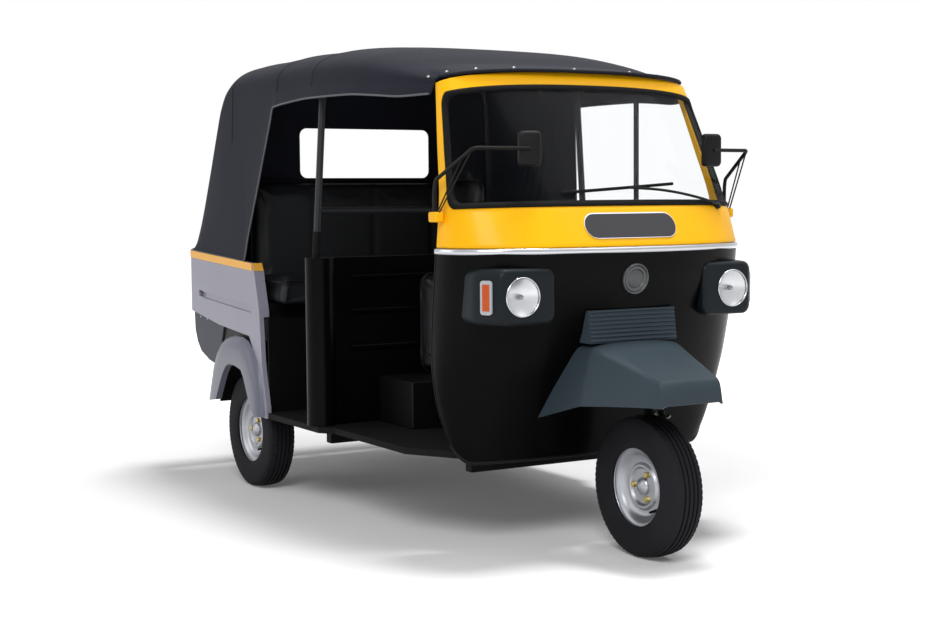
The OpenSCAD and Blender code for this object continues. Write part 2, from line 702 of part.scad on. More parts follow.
// Hoops under the canopy; columns: station in the canopy table
bow_d = 22;
bow_stations = [4, 6, 11];
bow_drop = canopy_t + bow_d / 2 + seat_gap;
bow_skip = 3;
function bow_path(i) = let (s = canopy_shares[i], q = canopy_section(s, bow_drop))
    [for (k = [bow_skip:len(q) - 1 - bow_skip]) [canopy_x(s, 0), q[k][0], q[k][1]]];
module canopy_bows() color("#3c3c3c")
    for (i = bow_stations)
        rod(bow_path(i), bow_d, [1, 0, 0]);

// Curtain on the rearmost hoop, behind the seat, with a window
rear_bow = canopy_shares[bow_stations[2]];
rear_curtain_gap = 2;
rear_curtain_inset = 20;
rear_curtain_back = canopy_front_back + rear_bow[0] * canopy_l + bow_d / 2 + rear_curtain_gap;
sight_r = 34;
module rear_curtain() color("#1c1d22")
    translate([back(rear_curtain_back + canopy_t), 0, 0])
        rotate([90, 0, 90])
            linear_extrude(canopy_t)
                difference() {
                    edge = canopy_section(rear_bow, rear_curtain_inset);
                    polygon(concat([[edge[0][0], rear_seat_low]], edge, [[-edge[0][0], rear_seat_low]]));
                    translate([0, sight_z + sight_h / 2])
                        round_rect(sight_w, sight_h, sight_r);
                }

// Poles from the partition up under the first hoop, with a grab rail and a left guard bar
pole_back = canopy_front_back + canopy_shares[bow_stations[0]][0] * canopy_l;
pole_top = bow_path(bow_stations[0])[3];
pole_foot_y = 658;
pole_drop = 40;
pole_lift = 1.2;
pole_in = 4.3;
guard_run = 425;
guard_d = 22;
guard_top_z = 1684;
guard_in = 14;
guard_back = partition_back - guard_run;
guard_y = floor_cab_y - guard_in;
pole_low = [back(partition_back - pole_in), pole_foot_y, partition_z + pole_lift];
pole_high = [back(pole_back), abs(pole_top[1]), pole_top[2] - pole_drop];
rail_x = mix(pole_low, pole_high, (rail_z - pole_low[2]) / (pole_high[2] - pole_low[2]))[0];
module grab_frame() color("#5a5a5a") {
    both_sides()
        bar(pole_low, pole_high, pole_d);
    bar([rail_x, -post_y, rail_z], [rail_x, post_y, rail_z], pole_d);
    bar([back(guard_back), guard_y, floor_z], [back(guard_back), guard_y, guard_top_z], guard_d);
}

// Seats
driver_box_y = 400;
driver_box_l = 286.7;
driver_post_y = 200;
driver_seat_run = 486.7;
driver_post_in = 60;
wall_front_back = partition_back - partition_t / 2 - wall_rib_d / 2 - seat_gap;
driver_box_front_back = wall_front_back - driver_box_l;
driver_front_back = wall_front_back - driver_seat_run;
module driver_box() color("#1c1c1c") {
    block([back(wall_front_back), -driver_box_y, floor_z],
        [back(driver_box_front_back), driver_box_y, floor_z + driver_box_h]);
    block([back(driver_box_front_back), -driver_post_y, floor_z],
        [back(driver_front_back + driver_post_in), driver_post_y, floor_z + driver_box_h]);
}
cushion_r = 40;
module cushion(low, high) {
    size = high - low;
    translate([(low[0] + high[0]) / 2, (low[1] + high[1]) / 2, low[2]])
        linear_extrude(size[2])
            round_rect(size[0], size[1], min(cushion_r, size[0] / 2.5));
}
driver_seat_low = floor_z + driver_box_h + seat_gap;
module driver_cushion() color("#181818")
    cushion([back(wall_front_back - driver_back_t - overrun), -driver_seat_w / 2, driver_seat_low],
        [back(driver_front_back), driver_seat_w / 2, driver_seat_low + driver_cushion_t]);
driver_back_t = 82;
driver_back_h = 420;
module driver_back() color("#181818")
    cushion([back(wall_front_back), -driver_seat_w / 2, driver_seat_low],
        [back(wall_front_back - driver_back_t), driver_seat_w / 2, driver_seat_low + driver_back_h]);

riser_back = wheelbase - riser_run;
seat_wall_t = 20;
well_y = floor_tyre_y - overrun;
well_z = 575;
well_wall_t = 6;
ledge_z = 763;
ledge_in = 66;
seat_rear_inset = 130;
seat_rear_back = wheelbase + rear_overhang - seat_rear_inset;
module rear_box() color("#191919") {
    wall_back = riser_back + seat_wall_t;
    wall_y = inner_y - seat_wall_t;
    open_x = back(seat_rear_back) - overrun;
    difference() {
        block([back(seat_rear_back), -inner_y, floor_low], [back(riser_back), inner_y, seat_box_z]);
        block([open_x, -wall_y, floor_low - overrun], [back(wall_back), wall_y, ledge_z - seat_wall_t]);
        block([open_x, -wall_y, floor_low - overrun],
            [back(wall_back + ledge_in), wall_y, seat_box_z - seat_wall_t]);
        block([back(riser_back + ledge_in), -side_y, ledge_z],
            [back(riser_back) + overrun, side_y, seat_box_z + overrun]);
        both_sides()
            block([open_x, well_y, floor_low - overrun], [back(riser_back + well_wall_t), side_y, well_z]);
    }
}
seat_overhang = 63;
rear_seat_front_back = riser_back - seat_overhang;
rear_seat_in = 38;
rear_seat_y = inner_y - rear_seat_in;
rear_back_t = 75;
rear_back_run = 287;
rear_back_back = riser_back + rear_back_run;
rear_back_h = 545;
rear_back_in = 20;
rear_seat_low = seat_box_z + seat_gap;
module rear_cushion() color("#151515")
    cushion([back(rear_back_back) + overrun, -rear_seat_y, rear_seat_low],
        [back(rear_seat_front_back), rear_seat_y, rear_seat_low + rear_cushion_t]);
module rear_back() color("#151515")
    cushion([back(rear_back_back + rear_back_t), -rear_seat_y + rear_back_in, rear_seat_low],
        [back(rear_back_back), rear_seat_y - rear_back_in, rear_seat_low + rear_back_h]);

// Side panels with a pressed groove and a vent; the left one runs on to the partition
panel_rear_back = wheelbase + rear_overhang;
panel_foot_run = 279;
panel_foot_back = wheelbase - panel_foot_run;
panel_lean = 137;
panel_top_back = panel_foot_back + panel_lean;
panel_mid_run = 96;
panel_mid_back = wheelbase - panel_mid_run;
panel_leg_w = 54;
function waist_z(d) = mix(waist_front_z, waist_rear_z,
    (d - panel_top_back) / (panel_rear_back - panel_top_back));
// Columns, both shares: place from the wheel to the tail, height between the lower edge's two ends
panel_low_shares = [[0, 0], [0.49, 0.35], [1, 1]];
function panel_low(d) = mix(panel_mid_z, panel_bottom_z,
    lookup((d - panel_mid_back) / (panel_rear_back - panel_mid_back), panel_low_shares));
panel_low_back = mix(panel_mid_back, panel_rear_back, panel_low_shares[1][0]);
// Columns, both shares: height from the floor to the waist, rearward lean of the front edge
panel_edge_shares = [[0, 0], [0.07, 0], [0.343, 0.336], [0.7, 0.496], [0.944, 0.84], [1, 1]];
flange_shares = [[0.65, 0.474], [0.7, 0.496], [0.944, 0.84], [1, 1]];
function panel_edge(s) = [back(panel_foot_back + s[1] * panel_lean), mix(floor_low, waist_front_z, s[0])];
flange_w = 46;
flange_t = 12;
recess_depth = 6;
// Columns, both shares: place along the panel, height in it
recess_shares = [[0.03, 0.32], [0.03, 0.414], [0.784, 0.387], [0.784, 0.293]];
vent_shares = [[0.79, 0.3], [0.79, 0.395], [0.868, 0.395], [0.868, 0.3]];
leg_share = 0.76;
left_front_back = partition_back + post_d / 2 + seat_gap;
module panel_outline(front)
    polygon(concat([[tail_x, panel_bottom_z], [tail_x, waist_rear_z]], front,
        [[back(panel_foot_back + panel_leg_w), floor_low],
            [back(mix(panel_foot_back + panel_leg_w, panel_mid_back, half)),
                mix(floor_low, panel_mid_z, leg_share)],
            [back(panel_mid_back), panel_mid_z], [back(panel_low_back), panel_low(panel_low_back)]]));
module panel_sheet(depth)
    translate([0, side_y, 0])
        rotate([90, 0, 0])
            linear_extrude(depth)
                children();
function panel_places(shares) = [for (q = shares) let (d = mix(panel_top_back, panel_rear_back, q[0]))
    [back(d), mix(panel_low(d), waist_z(d), q[1])]];
module side_panel(front)
    difference() {
        panel_sheet(panel_t)
            panel_outline(front);
        translate([0, overrun, 0])
            panel_sheet(recess_depth + overrun)
                polygon(panel_places(recess_shares));
        translate([0, overrun, 0])
            panel_sheet(panel_t + 2 * overrun)
                polygon(panel_places(vent_shares));
    }
module side_right() color("#9c97a6")
    mirror([0, 1, 0]) {
        side_panel(reversed([for (s = panel_edge_shares) panel_edge(s)]));
        panel_sheet(flange_w)
            polygon(concat([for (s = flange_shares) panel_edge(s)],
                reversed([for (s = flange_shares) panel_edge(s) - [flange_t, 0]])));
    }
module side_left() color("#9c97a6")
    side_panel([[back(left_front_back), waist_z(left_front_back)], [back(left_front_back), floor_low]]);
stripe_h = 33;
stripe_t = 3;
module side_stripes() color("#ffb84d")
    both_sides()
        translate([0, side_y + stripe_t, 0])
            rotate([90, 0, 0])
                linear_extrude(stripe_t)
                    polygon([[back(panel_top_back), waist_front_z - stripe_h],
                        [back(panel_top_back), waist_front_z],
                        [tail_x, waist_rear_z], [tail_x, waist_rear_z - stripe_h]]);

// Wheel arch fenders: a domed band between an outer outline and the wheel opening
fender_t = 30;
fender_low_z = 337;
fender_top_z = 672;
fender_run = 256;
fender_l = 609;
// Columns, all shares: place and height of the outline, place and height of the opening
fender_shares = [[0, 0.018, 0.085, 0], [0.034, 0.337, 0.151, 0.093], [0.079, 0.576, 0.19, 0.203],
    [0.125, 0.731, 0.218, 0.304], [0.194, 0.869, 0.246, 0.391], [0.273, 0.958, 0.276, 0.487],
    [0.374, 0.997, 0.322, 0.579], [0.506, 1, 0.435, 0.615], [0.642, 0.964, 0.548, 0.618],
    [0.741, 0.887, 0.609, 0.576], [0.824, 0.755, 0.667, 0.475], [0.893, 0.576, 0.713, 0.367],
    [0.949, 0.307, 0.762, 0.233], [1, 0.045, 0.814, 0.093]];
function fender_place(a, b) = [back(wheelbase - fender_run + a * fender_l),
    mix(fender_low_z, fender_top_z, b)];
// Columns, both shares: place between the outline and the opening, height off the panel
dome_shares = [[0, 0], [0.06, 0.45], [0.2, 0.82], [0.45, 1], [1, 0.94], [1, 0]];
module fenders() color("#7e7f8c")
    both_sides()
        skin([for (f = fender_shares) [for (d = dome_shares)
            let (q = mix(fender_place(f[0], f[1]), fender_place(f[2], f[3]), d[0]))
            [q[0], side_y + d[1] * fender_t, q[1]]]]);

// Wheel houses: arched liners behind the fenders
house_t = 8;
house_low_z = 352;
house_top_z = 568;
house_rear_run = 308;
// Columns, both shares: place from the riser to the rear end, height
house_shares = [[0, 0.546], [0.029, 0.778], [0.109, 0.926], [0.255, 0.991], [0.438, 1], [0.62, 0.991],
    [0.766, 0.907], [0.867, 0.685], [0.94, 0.361], [0.985, 0.093], [1, 0]];
function house_place(q) = [back(mix(riser_back + well_wall_t, wheelbase + house_rear_run, q[0])),
    mix(house_low_z, house_top_z, q[1])];
function house_inner(p) = let (run = [rear_axle_x, axle_z] - p) p + run * house_t / norm(run);
module wheel_houses() color("#1a1a1a")
    both_sides()
        translate([0, inner_y - seat_gap, 0])
            rotate([90, 0, 0])
                linear_extrude(inner_y - seat_gap - floor_tyre_y)
                    polygon(concat([for (q = house_shares) house_place(q)],
                        reversed([for (q = house_shares) house_inner(house_place(q))])));

// Dark skirts below the panels behind the wheels
skirt_t = 8;
skirt_low_z = 514;
skirt_run = 223;
skirt_front_back = wheelbase + skirt_run;
// Columns, both shares: place from the front end to the tail, height up to the panel
skirt_shares = [[0.207, 0], [0.51, 0.075], [0.782, 0.216], [0.905, 0.39], [0.98, 0.62], [1, 1]];
module skirts() color("#56606a")
    both_sides()
        translate([0, inner_y + skirt_t, 0])
            rotate([90, 0, 0])
                linear_extrude(skirt_t)
                    polygon(concat([for (q = skirt_shares)
                        [back(mix(skirt_front_back, panel_rear_back, q[0])),
                            mix(skirt_low_z, panel_bottom_z, q[1])]],
                        [[back(panel_low_back), panel_low(panel_low_back)],
                            [back(skirt_front_back), panel_low(skirt_front_back)]]));

// Tail wall, set in behind the side panels, with an engine hatch on two hinges
tail_in = 22;
tail_low_z = 600;
tail_face = tail_x + tail_in;
hatch_low_z = 640;
hatch_gap = 6;
hatch_top_z = hatch_low_z + hatch_h;
barrel_d = 14;
pin_d = 7;
pin_off = 12.5;
pin_rise = 16;
pin_x = tail_face - pin_off;
pin_z = hatch_top_z + pin_rise;
hinge_y = 250;
knuckle_l = 44;
lug_l = 30;
lug_t = 8;
strap_h = 40;
module at_hinges()
    both_sides()
        translate([pin_x, hinge_y, pin_z])
            children();
module along_y(l, d)
    rotate([90, 0, 0])
        cylinder(d = d, h = l, center = true);
module tail_panel() color("#9c97a6") {
    difference() {
        block([tail_face, -inner_y, tail_low_z], [tail_face + panel_t, inner_y, waist_rear_z]);
        block([tail_x, -hatch_w / 2 - hatch_gap, hatch_low_z - hatch_gap],
            [tail_face + panel_t + overrun, hatch_w / 2 + hatch_gap, hatch_top_z + hatch_gap]);
    }
    at_hinges() {
        along_y(knuckle_l + 2 * hatch_gap + 2 * lug_l, pin_d);
        for (s = [-1, 1])
            translate([0, s * (knuckle_l + lug_l + 2 * hatch_gap) / 2, 0]) {
                along_y(lug_l, barrel_d);
                block([-lug_t / 2, -lug_l / 2, 0], [pin_off, lug_l / 2, strap_h]);
            }
    }
}
module tail_hatch() color("#9c97a6") {
    block([tail_face, -hatch_w / 2, hatch_low_z], [tail_face + panel_t, hatch_w / 2, hatch_top_z]);
    at_hinges()
        difference() {
            union() {
                along_y(knuckle_l, barrel_d);
                block([-lug_t / 2, -knuckle_l / 2, -strap_h - pin_rise], [lug_t / 2, knuckle_l / 2, 0]);
                block([-lug_t / 2, -knuckle_l / 2, -strap_h - pin_rise],
                    [pin_off, knuckle_l / 2, -pin_rise - overrun]);
            }
            along_y(knuckle_l + 2 * overrun, pin_d + 2 * running_gap);
        }
}
tail_lamp_y = 560;
tail_lamp_z = 860;
tail_lamp_w = 84;
tail_lamp_h = 150;
tail_lamp_t = 18;
module tail_lamps() color("#b02020")
    both_sides()
        translate([tail_face, tail_lamp_y, tail_lamp_z])
            rotate([90, 0, -90])
                linear_extrude(tail_lamp_t)
                    round_rect(tail_lamp_w, tail_lamp_h, tail_lamp_w / 5);

// Engine with gearbox, one block on the frame's bearers
engine_w = 380;
engine_h = 300;
module engine() color("#8a8a86")
    block([back(wheelbase + engine_gap + engine_l), -engine_w / 2, floor_low],
        [back(bearer_backs[0]), engine_w / 2, floor_low + engine_h]);

// Trailing arms with stub axles, and the coil springs under the frame's towers
arm_in = 36;
arm_y = floor_tyre_y - arm_in;
arm_w = 40;
arm_h = 40;
carrier_d = 96;
carrier_l = 52;
cup_d = 66;
cup_z = 330;
hub_out = 36;
stub_in = 10;
module rear_arms() color("#2c2c2c")
    both_sides() {
        translate([rear_axle_x, arm_y, axle_z])
            rotate([-90, 0, 0]) {
                translate([0, 0, -arm_w / 2])
                    cylinder(d = carrier_d, h = carrier_l);
                cylinder(d = stub_d, h = track / 2 + hub_out - arm_y - stub_in);
            }
        block([rear_axle_x, arm_y - arm_w / 2, rail_low], [back(arm_cross_back + cross_w), arm_y + arm_w / 2,
            rail_low + arm_h]);
        translate([rear_axle_x, arm_y, axle_z])
            cylinder(d = cup_d, h = cup_z - axle_z);
    }
coil_wire = 11;
coil_r = 25;
coil_turns = 6;
coil_steps = 12;
coil_h = tower_z - tower_plate_t - cup_z - coil_wire - 2 * seat_gap;
module rear_springs() color("#a33020")
    both_sides()
        translate([rear_axle_x, arm_y, cup_z + coil_wire / 2 + seat_gap])
            rod(coil_path(coil_r, coil_h, coil_turns, coil_steps), coil_wire, [0, 0, 1]);

// Steered fork: column, crown, single arm on the left, link and stub axle
crown_at = 372;
crown_t = 34;
arm_top = [-18, fork_side, crown_at];
pivot = [-104, fork_side, 24];
arm_d = 40;
axle_at = [0, fork_side, 0];
column_top = 935;
spring_x = 26;
spring_low = 62;
spring_seat_d = 64;
spring_seat_t = 8;
damper_d = 22;
crown_rear = 30;
crown_side = 32;
boss_d = 56;
module steering_fork() color("#262626")
    on_steering_axis() {
        translate([0, 0, crown_at - crown_t / 2])
            cylinder(d = column_d, h = column_top - crown_at);
        block([-crown_rear, -crown_rear, crown_at - crown_t / 2],
            [spring_x + crown_side, fork_side + crown_side, crown_at + crown_t / 2]);
        bar(arm_top, pivot, arm_d);
        bar(pivot, axle_at, arm_d);
        translate(pivot)
            sphere(d = arm_d * elbow_share);
        translate(axle_at)
            rotate([90, 0, 0])
                translate([0, 0, -arm_d / 2])
                    cylinder(d = boss_d, h = arm_d);
        translate(axle_at)
            rotate([90, 0, 0])
                cylinder(d = stub_d, h = fork_side + hub_out - stub_in);
        translate([spring_x, fork_side, 0])
            cylinder(d = damper_d, h = crown_at);
        translate([spring_x, fork_side, spring_low - spring_seat_t])
            cylinder(d = spring_seat_d, h = spring_seat_t);
    }
spring_turns = 7;
spring_wire = 10;
spring_r = 26;
spring_h = crown_at - crown_t / 2 - spring_low - spring_wire - 2 * seat_gap;
module front_spring() color("#c0352a")
    on_steering_axis()
        translate([spring_x, fork_side, spring_low + spring_wire / 2 + seat_gap])
            rod(coil_path(spring_r, spring_h, spring_turns, coil_steps), spring_wire, [0, 0, 1]);

grip_d = 34;
bar_d = 24;
grip_back = 120;
bar_rise = 20;
clamp_d = 66;
clamp_h = 44;
module handlebar() color("#1d1d1d")
    on_steering_axis()
        translate([0, 0, column_top - crown_t / 2]) {
            translate([0, 0, 0])
                cylinder(d = clamp_d, h = clamp_h);
            both_sides() {
                bar([0, 0, clamp_h / 2], [-grip_back * half, bar_span / 4, bar_rise + clamp_h / 2], bar_d);
                bar([-grip_back * half, bar_span / 4, bar_rise + clamp_h / 2],
                    [-grip_back, bar_span / 2, bar_rise + clamp_h / 2], grip_d);
            }
        }

// Wheels: a pressed steel rim and its tyre, spinning about Y
rim_t = 7;
disc_in = 10;
well_depth = 16;
ring_d = 156;
ring_rise = 8;
dome_d = 66;
dome_t = 6;
dome_steps = 6;
nut_d = 20;
nut_h = 12;
nut_circle_d = 100;
nuts_n = 3;
// Profile points as radius and width
module rim_profile() {
    r = bead_d / 2;
    w = rim_w / 2;
    bore = stub_d / 2 + running_gap;
    hub = hub_d / 2;
    seat = w - rim_t * 1.6;
    face = disc_in + rim_t;
    ring = ring_d / 2;
    polygon(concat([[bore, -w + rim_t], [hub, -w + rim_t], [hub, disc_in], [r - 2 * well_depth, disc_in],
        [r - 1.6 * well_depth, -rim_t], [r - 1.4 * well_depth, -w + 2 * rim_t], [r - rim_t, -w + rim_t],
        [r + flange_h, -w], [r + flange_h, -w + rim_t], [r, -seat], [r, -w / 2], [r - well_depth, -w / 4],
        [r - well_depth, w / 4], [r, w / 2], [r, seat], [r + flange_h, w - rim_t], [r + flange_h, w],
        [r - rim_t, w - rim_t], [r - 1.3 * well_depth, w / 2], [r - 1.9 * well_depth, face],
        [ring + ring_rise, face], [ring, face + ring_rise], [ring - ring_rise, face + ring_rise],
        [ring - 2 * ring_rise, face]],
        [for (i = [0:dome_steps]) let (a = 90 * i / dome_steps)
            [dome_d / 2 * cos(a), mix(face, hub_out, sin(a))]],
        [[0, hub_out - dome_t], [bore, hub_out - dome_t]]));
}
module rim() color("#c4c6ca")
    rotate([-90, 0, 0]) {
        rotate_extrude($fn = 72)
            rim_profile();
        for (i = [0:nuts_n - 1])
            rotate(180 + 360 * i / nuts_n)
                translate([nut_circle_d / 2, 0, disc_in + rim_t * half])
                    cylinder(d = nut_d, h = rim_t * half + nut_h, $fn = 6);
    }
groove_w = 7;
groove_depth = 7;
groove_places_shares = [-0.46, -0.16, 0.16, 0.46];
tread_r = 236;
module tyre_profile() {
    r = tyre_d / 2;
    w = tyre_w / 2;
    bead = bead_d / 2 + seat_gap;
    difference() {
        intersection() {
            translate([bead, -w])
                square([r - bead, tyre_w]);
            translate([r - tread_r, 0])
                circle(tread_r, $fn = 96);
            translate([(r + bead) / 2, 0])
                oval((r - bead) / 2 * 1.22, w);
        }
        for (s = [-1, 1])
            translate([bead, s * (rim_w - rim_t * 1.6 - seat_gap)])
                square([2 * (flange_h + seat_gap), rim_w], center = true);
        for (s = groove_places_shares)
            translate([r - groove_depth * 1.4, s * tyre_w / 2 - groove_w / 2])
                square([groove_depth * 2, groove_w]);
    }
}
// Oval outline from its two half sizes
oval_steps = 40;
oval_power = 0.6;
module oval(a, b)
    polygon([for (i = [0:oval_steps - 1]) let (t = 360 * i / oval_steps)
        [a * signed_power(cos(t), oval_power), b * signed_power(sin(t), oval_power)]]);
module tyre() color("#151515")
    rotate([-90, 0, 0])
        rotate_extrude($fn = 72)
            tyre_profile();

module at_front_wheel()
    translate([front_axle_x, 0, axle_z])
        mirror([0, 1, 0])
            children();
module at_rear_wheel()
    translate([rear_axle_x, track / 2, axle_z])
        children();
module front_rim() at_front_wheel() rim();
module front_tyre() at_front_wheel() tyre();
module rear_rim_left() at_rear_wheel() rim();
module rear_tyre_left() at_rear_wheel() tyre();
module rear_rim_right() mirror([0, 1, 0]) at_rear_wheel() rim();
module rear_tyre_right() mirror([0, 1, 0]) at_rear_wheel() tyre();

chassis();
floor_pan();
nose_shell();
chrome_strip();
screen_frame();
screen_gasket();
windscreen();
cowl();
cowl_ribs();
lamp_bezels();
lamp_lenses();
indicators();
mirror_right();
mirror_left();
column_housing();
partition();
grab_frame();
canopy_bows();
driver_box();
driver_cushion();
driver_back();
rear_box();
rear_cushion();
rear_back();
side_right();
side_left();
side_stripes();
fenders();
wheel_houses();
skirts();
tail_panel();
tail_hatch();
tail_lamps();
canopy_roof();
canopy_rear();
side_curtain();
rear_curtain();
engine();
spring_towers();
rear_arms();
rear_springs();
steering_fork();
front_spring();
handlebar();
front_rim();
front_tyre();
rear_rim_right();
rear_tyre_right();
rear_rim_left();
rear_tyre_left();
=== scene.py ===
# %% [markdown]
# # Auto rickshaw
# A three-wheeled taxi: a pressed steel nose and rear body on a light frame, a cloth canopy drawn over
# hoops, and three equal wheels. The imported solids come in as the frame. A solid that already has the right
# shape stays and only gets a finish. Where the real surface is finer than the solid, as on the curved
# front, the cloth, the cushions and the tyres, a new piece is made here and stands for the solid.

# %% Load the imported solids
import math

import bmesh
import bpy
import numpy as np
from mathutils import Matrix, Vector


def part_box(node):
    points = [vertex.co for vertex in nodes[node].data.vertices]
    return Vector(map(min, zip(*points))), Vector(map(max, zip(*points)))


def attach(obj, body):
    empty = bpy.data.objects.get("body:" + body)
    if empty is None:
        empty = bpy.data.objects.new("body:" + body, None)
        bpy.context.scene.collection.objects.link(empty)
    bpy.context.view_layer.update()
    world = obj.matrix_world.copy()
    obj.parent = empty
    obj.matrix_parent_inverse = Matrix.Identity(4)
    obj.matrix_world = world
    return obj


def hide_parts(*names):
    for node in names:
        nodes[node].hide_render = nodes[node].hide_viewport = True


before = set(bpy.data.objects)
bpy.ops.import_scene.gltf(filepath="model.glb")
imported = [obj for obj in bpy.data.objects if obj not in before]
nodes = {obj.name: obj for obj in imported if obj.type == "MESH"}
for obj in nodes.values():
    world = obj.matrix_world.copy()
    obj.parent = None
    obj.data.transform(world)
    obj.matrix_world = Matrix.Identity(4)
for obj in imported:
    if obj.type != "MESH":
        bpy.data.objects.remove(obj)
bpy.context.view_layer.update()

# %% [markdown]
# ## How a finish is made
# Paint, rubber, cloth and plastic each show a slow change of tone over the object and a fine grain up
# close. An image could give both, but it needs a UV map. Noise on Object coordinates needs none, and it
# runs over seams without a break. Each pattern's size is written in millimetres. Most real grains are far
# finer than a pixel of the render, which is about 3 mm here. Those of paint, rubber and castings are drawn
# coarser, so that they show. Cloth and moulded textures keep about a millimetre and only soften the gloss.
# Dark finishes have a weak gloss, because the pale surround would turn them grey.


# %% Colours and nodes
MM = 1000.0                # millimetres in a metre, which turn a pattern's size into a texture's scale


def linear(code):
    """Linear colour of an sRGB hex code."""
    parts = [int(code[i:i + 2], 16) / 255 for i in (1, 3, 5)]
    return tuple(c / 12.92 if c <= 0.04045 else ((c + 0.055) / 1.055) ** 2.4 for c in parts) + (1.0,)


def add_node(tree, kind, settings=None, links=None):
    """Adds a node; settings name properties or inputs, and links give an input the output that feeds it."""
    new = tree.nodes.new(kind)
    for name, value in (settings or {}).items():
        if isinstance(name, str) and hasattr(new, name):
            setattr(new, name, value)
        else:
            new.inputs[name].default_value = value
    for name, output in (links or {}).items():
        tree.links.new(output, new.inputs[name])
    return new


print("mid grey in linear light:", round(linear("#808080")[0], 3))

# %% A finish that scatters light, and one to see through
TONE_STOPS = (0.3, 0.7)    # where the noise starts and ends its change of tone
TONE_DETAIL, GRAIN_DETAIL = 4.0, 2.0
COAT_ROUGH, BUMP_DEPTH, GLASS_EDGE = 0.06, 0.001, 0.008


def empty_material(name):
    mat = bpy.data.materials.new(name)
    mat.use_nodes = True
    mat.node_tree.nodes.clear()
    return mat, mat.node_tree


def material(name, code, rough=0.5, metal=0.0, coat=0.0, shine=0.5, vary=0.06, patch_mm=333.0, bump=0.0,
             grain_mm=3.33):
    """A finish with a soft change of tone in patches and, where it has a bump, a fine grain."""
    mat, tree = empty_material(name)
    place = add_node(tree, "ShaderNodeTexCoord").outputs["Object"]
    cloud = add_node(tree, "ShaderNodeTexNoise", {"Scale": MM / patch_mm, "Detail": TONE_DETAIL},
                     {"Vector": place})
    ramp = add_node(tree, "ShaderNodeValToRGB", links={"Fac": cloud.outputs["Fac"]})
    for element, stop, share in zip(ramp.color_ramp.elements, TONE_STOPS, (1 - vary, 1 + vary)):
        element.position = stop
        element.color = [min(1.0, c * share) for c in linear(code)[:3]] + [1.0]
    shader = add_node(tree, "ShaderNodeBsdfPrincipled", {
        "Roughness": rough, "Metallic": metal, "Coat Weight": coat, "Coat Roughness": COAT_ROUGH,
        "Specular IOR Level": shine}, {"Base Color": ramp.outputs["Color"]})
    if bump:
        grain = add_node(tree, "ShaderNodeTexNoise", {"Scale": MM / grain_mm, "Detail": GRAIN_DETAIL},
                         {"Vector": place})
        relief = add_node(tree, "ShaderNodeBump", {"Strength": bump, "Distance": BUMP_DEPTH},
                          {"Height": grain.outputs["Fac"]})
        tree.links.new(relief.outputs["Normal"], shader.inputs["Normal"])
    add_node(tree, "ShaderNodeOutputMaterial", links={"Surface": shader.outputs["BSDF"]})
    return mat


def clear(name, code, tint, gloss):
    """Thin glass: a tinted see-through sheet with a mirror-like skin at glancing angles."""
    mat, tree = empty_material(name)
    colour = [c * tint for c in linear(code)[:3]] + [1.0]
    through = add_node(tree, "ShaderNodeBsdfTransparent", {"Color": colour})
    skin = add_node(tree, "ShaderNodeBsdfGlossy", {"Roughness": gloss})
    weight = add_node(tree, "ShaderNodeLayerWeight", {"Blend": GLASS_EDGE})
    mix = add_node(tree, "ShaderNodeMixShader", links={
        "Fac": weight.outputs["Facing"], 1: through.outputs[0], 2: skin.outputs[0]})
    add_node(tree, "ShaderNodeOutputMaterial", links={"Surface": mix.outputs[0]})
    return mat


print("patches of 333 mm are a noise of scale", round(MM / 333.0, 2))

# %% [markdown]
# ## Paint
# The pressed steel panels are sprayed with enamel, the frame with a thicker, grainier coat. A panel's paint
# could be one flat colour, but real spray is never quite even, so each keeps a few per cent of change in
# tone.

# %% Sprayed steel and coatings
# Deep and even, with hardly any gloss
BLACK = material("black_sprayed_enamel", "#060606", rough=0.28, shine=0.05, vary=0.1)
# Warm and full, a soft sheen where the light falls
YELLOW = material("yellow_sprayed_enamel", "#fcb910", rough=0.36, coat=0.04, shine=0.12, vary=0.03)
# Cool greys with a thin clear coat, which gives the panels a broad pale highlight
PANEL = material("panel_grey_sprayed_enamel", "#9291a0", rough=0.36, coat=0.1, shine=0.3, vary=0.04)
FENDER = material("fender_grey_sprayed_enamel", "#686a78", rough=0.36, coat=0.1, shine=0.3, vary=0.04)
# Matt and slightly pebbled, against stones; the pebbles are drawn at 3 mm, coarser than life
SKIRT = material("skirt_grey_stone_guard", "#3b3e49", rough=0.5, shine=0.2, vary=0.05, bump=0.15)
# Thick brushed coat on the frame, uneven in tone
CHASSIS = material("frame_brushed_black", "#0b0b0c", rough=0.6, shine=0.1, vary=0.15, bump=0.3)
# Even satin black of boxes, brackets and the handlebar
SATIN = material("satin_black_powder_coat", "#0a0a0b", rough=0.45, shine=0.15, vary=0.1, bump=0.1)
# Dark grey tube with a soft line of light along it
POLE = material("pole_grey_powder_coat", "#222327", rough=0.4, shine=0.25, vary=0.06)
# Dipped coil with a wet highlight
SPRING = material("spring_dipped_black", "#1d1d1f", rough=0.4, coat=0.3, vary=0.08)
# Adhesive tape: smooth and a little glossy
STRIPE = material("stripe_amber_vinyl_tape", "#f4b344", rough=0.4, coat=0.1, shine=0.3, vary=0.03)
print("paints:", len(bpy.data.materials), "materials so far")

# %% [markdown]
# ## Metal
# Bare metal shows its surroundings more than a colour of its own, so roughness does the work: chrome is
# nearly a mirror, lacquered rims blur what they show, and a cast block only glimmers.

# %% Plated, lacquered and cast metal
# Bright strip: mirror-like with a slight haze
CHROME = material("trim_chromed_steel", "#b4b5b9", rough=0.2, metal=1.0, vary=0.03)
# Older, darker plating of studs, rivets and bulbs
DARK_CHROME = material("dulled_chromed_steel", "#8d8f93", rough=0.22, metal=1.0, vary=0.03)
# Silver lacquer over pressed steel: broad, soft highlights
RIM = material("rim_silver_lacquer", "#a6a8ae", rough=0.32, metal=0.8, vary=0.04)
# Dull gold with soft edges of light
BRASS = material("nut_turned_brass", "#b8a468", rough=0.35, metal=0.8, vary=0.05)
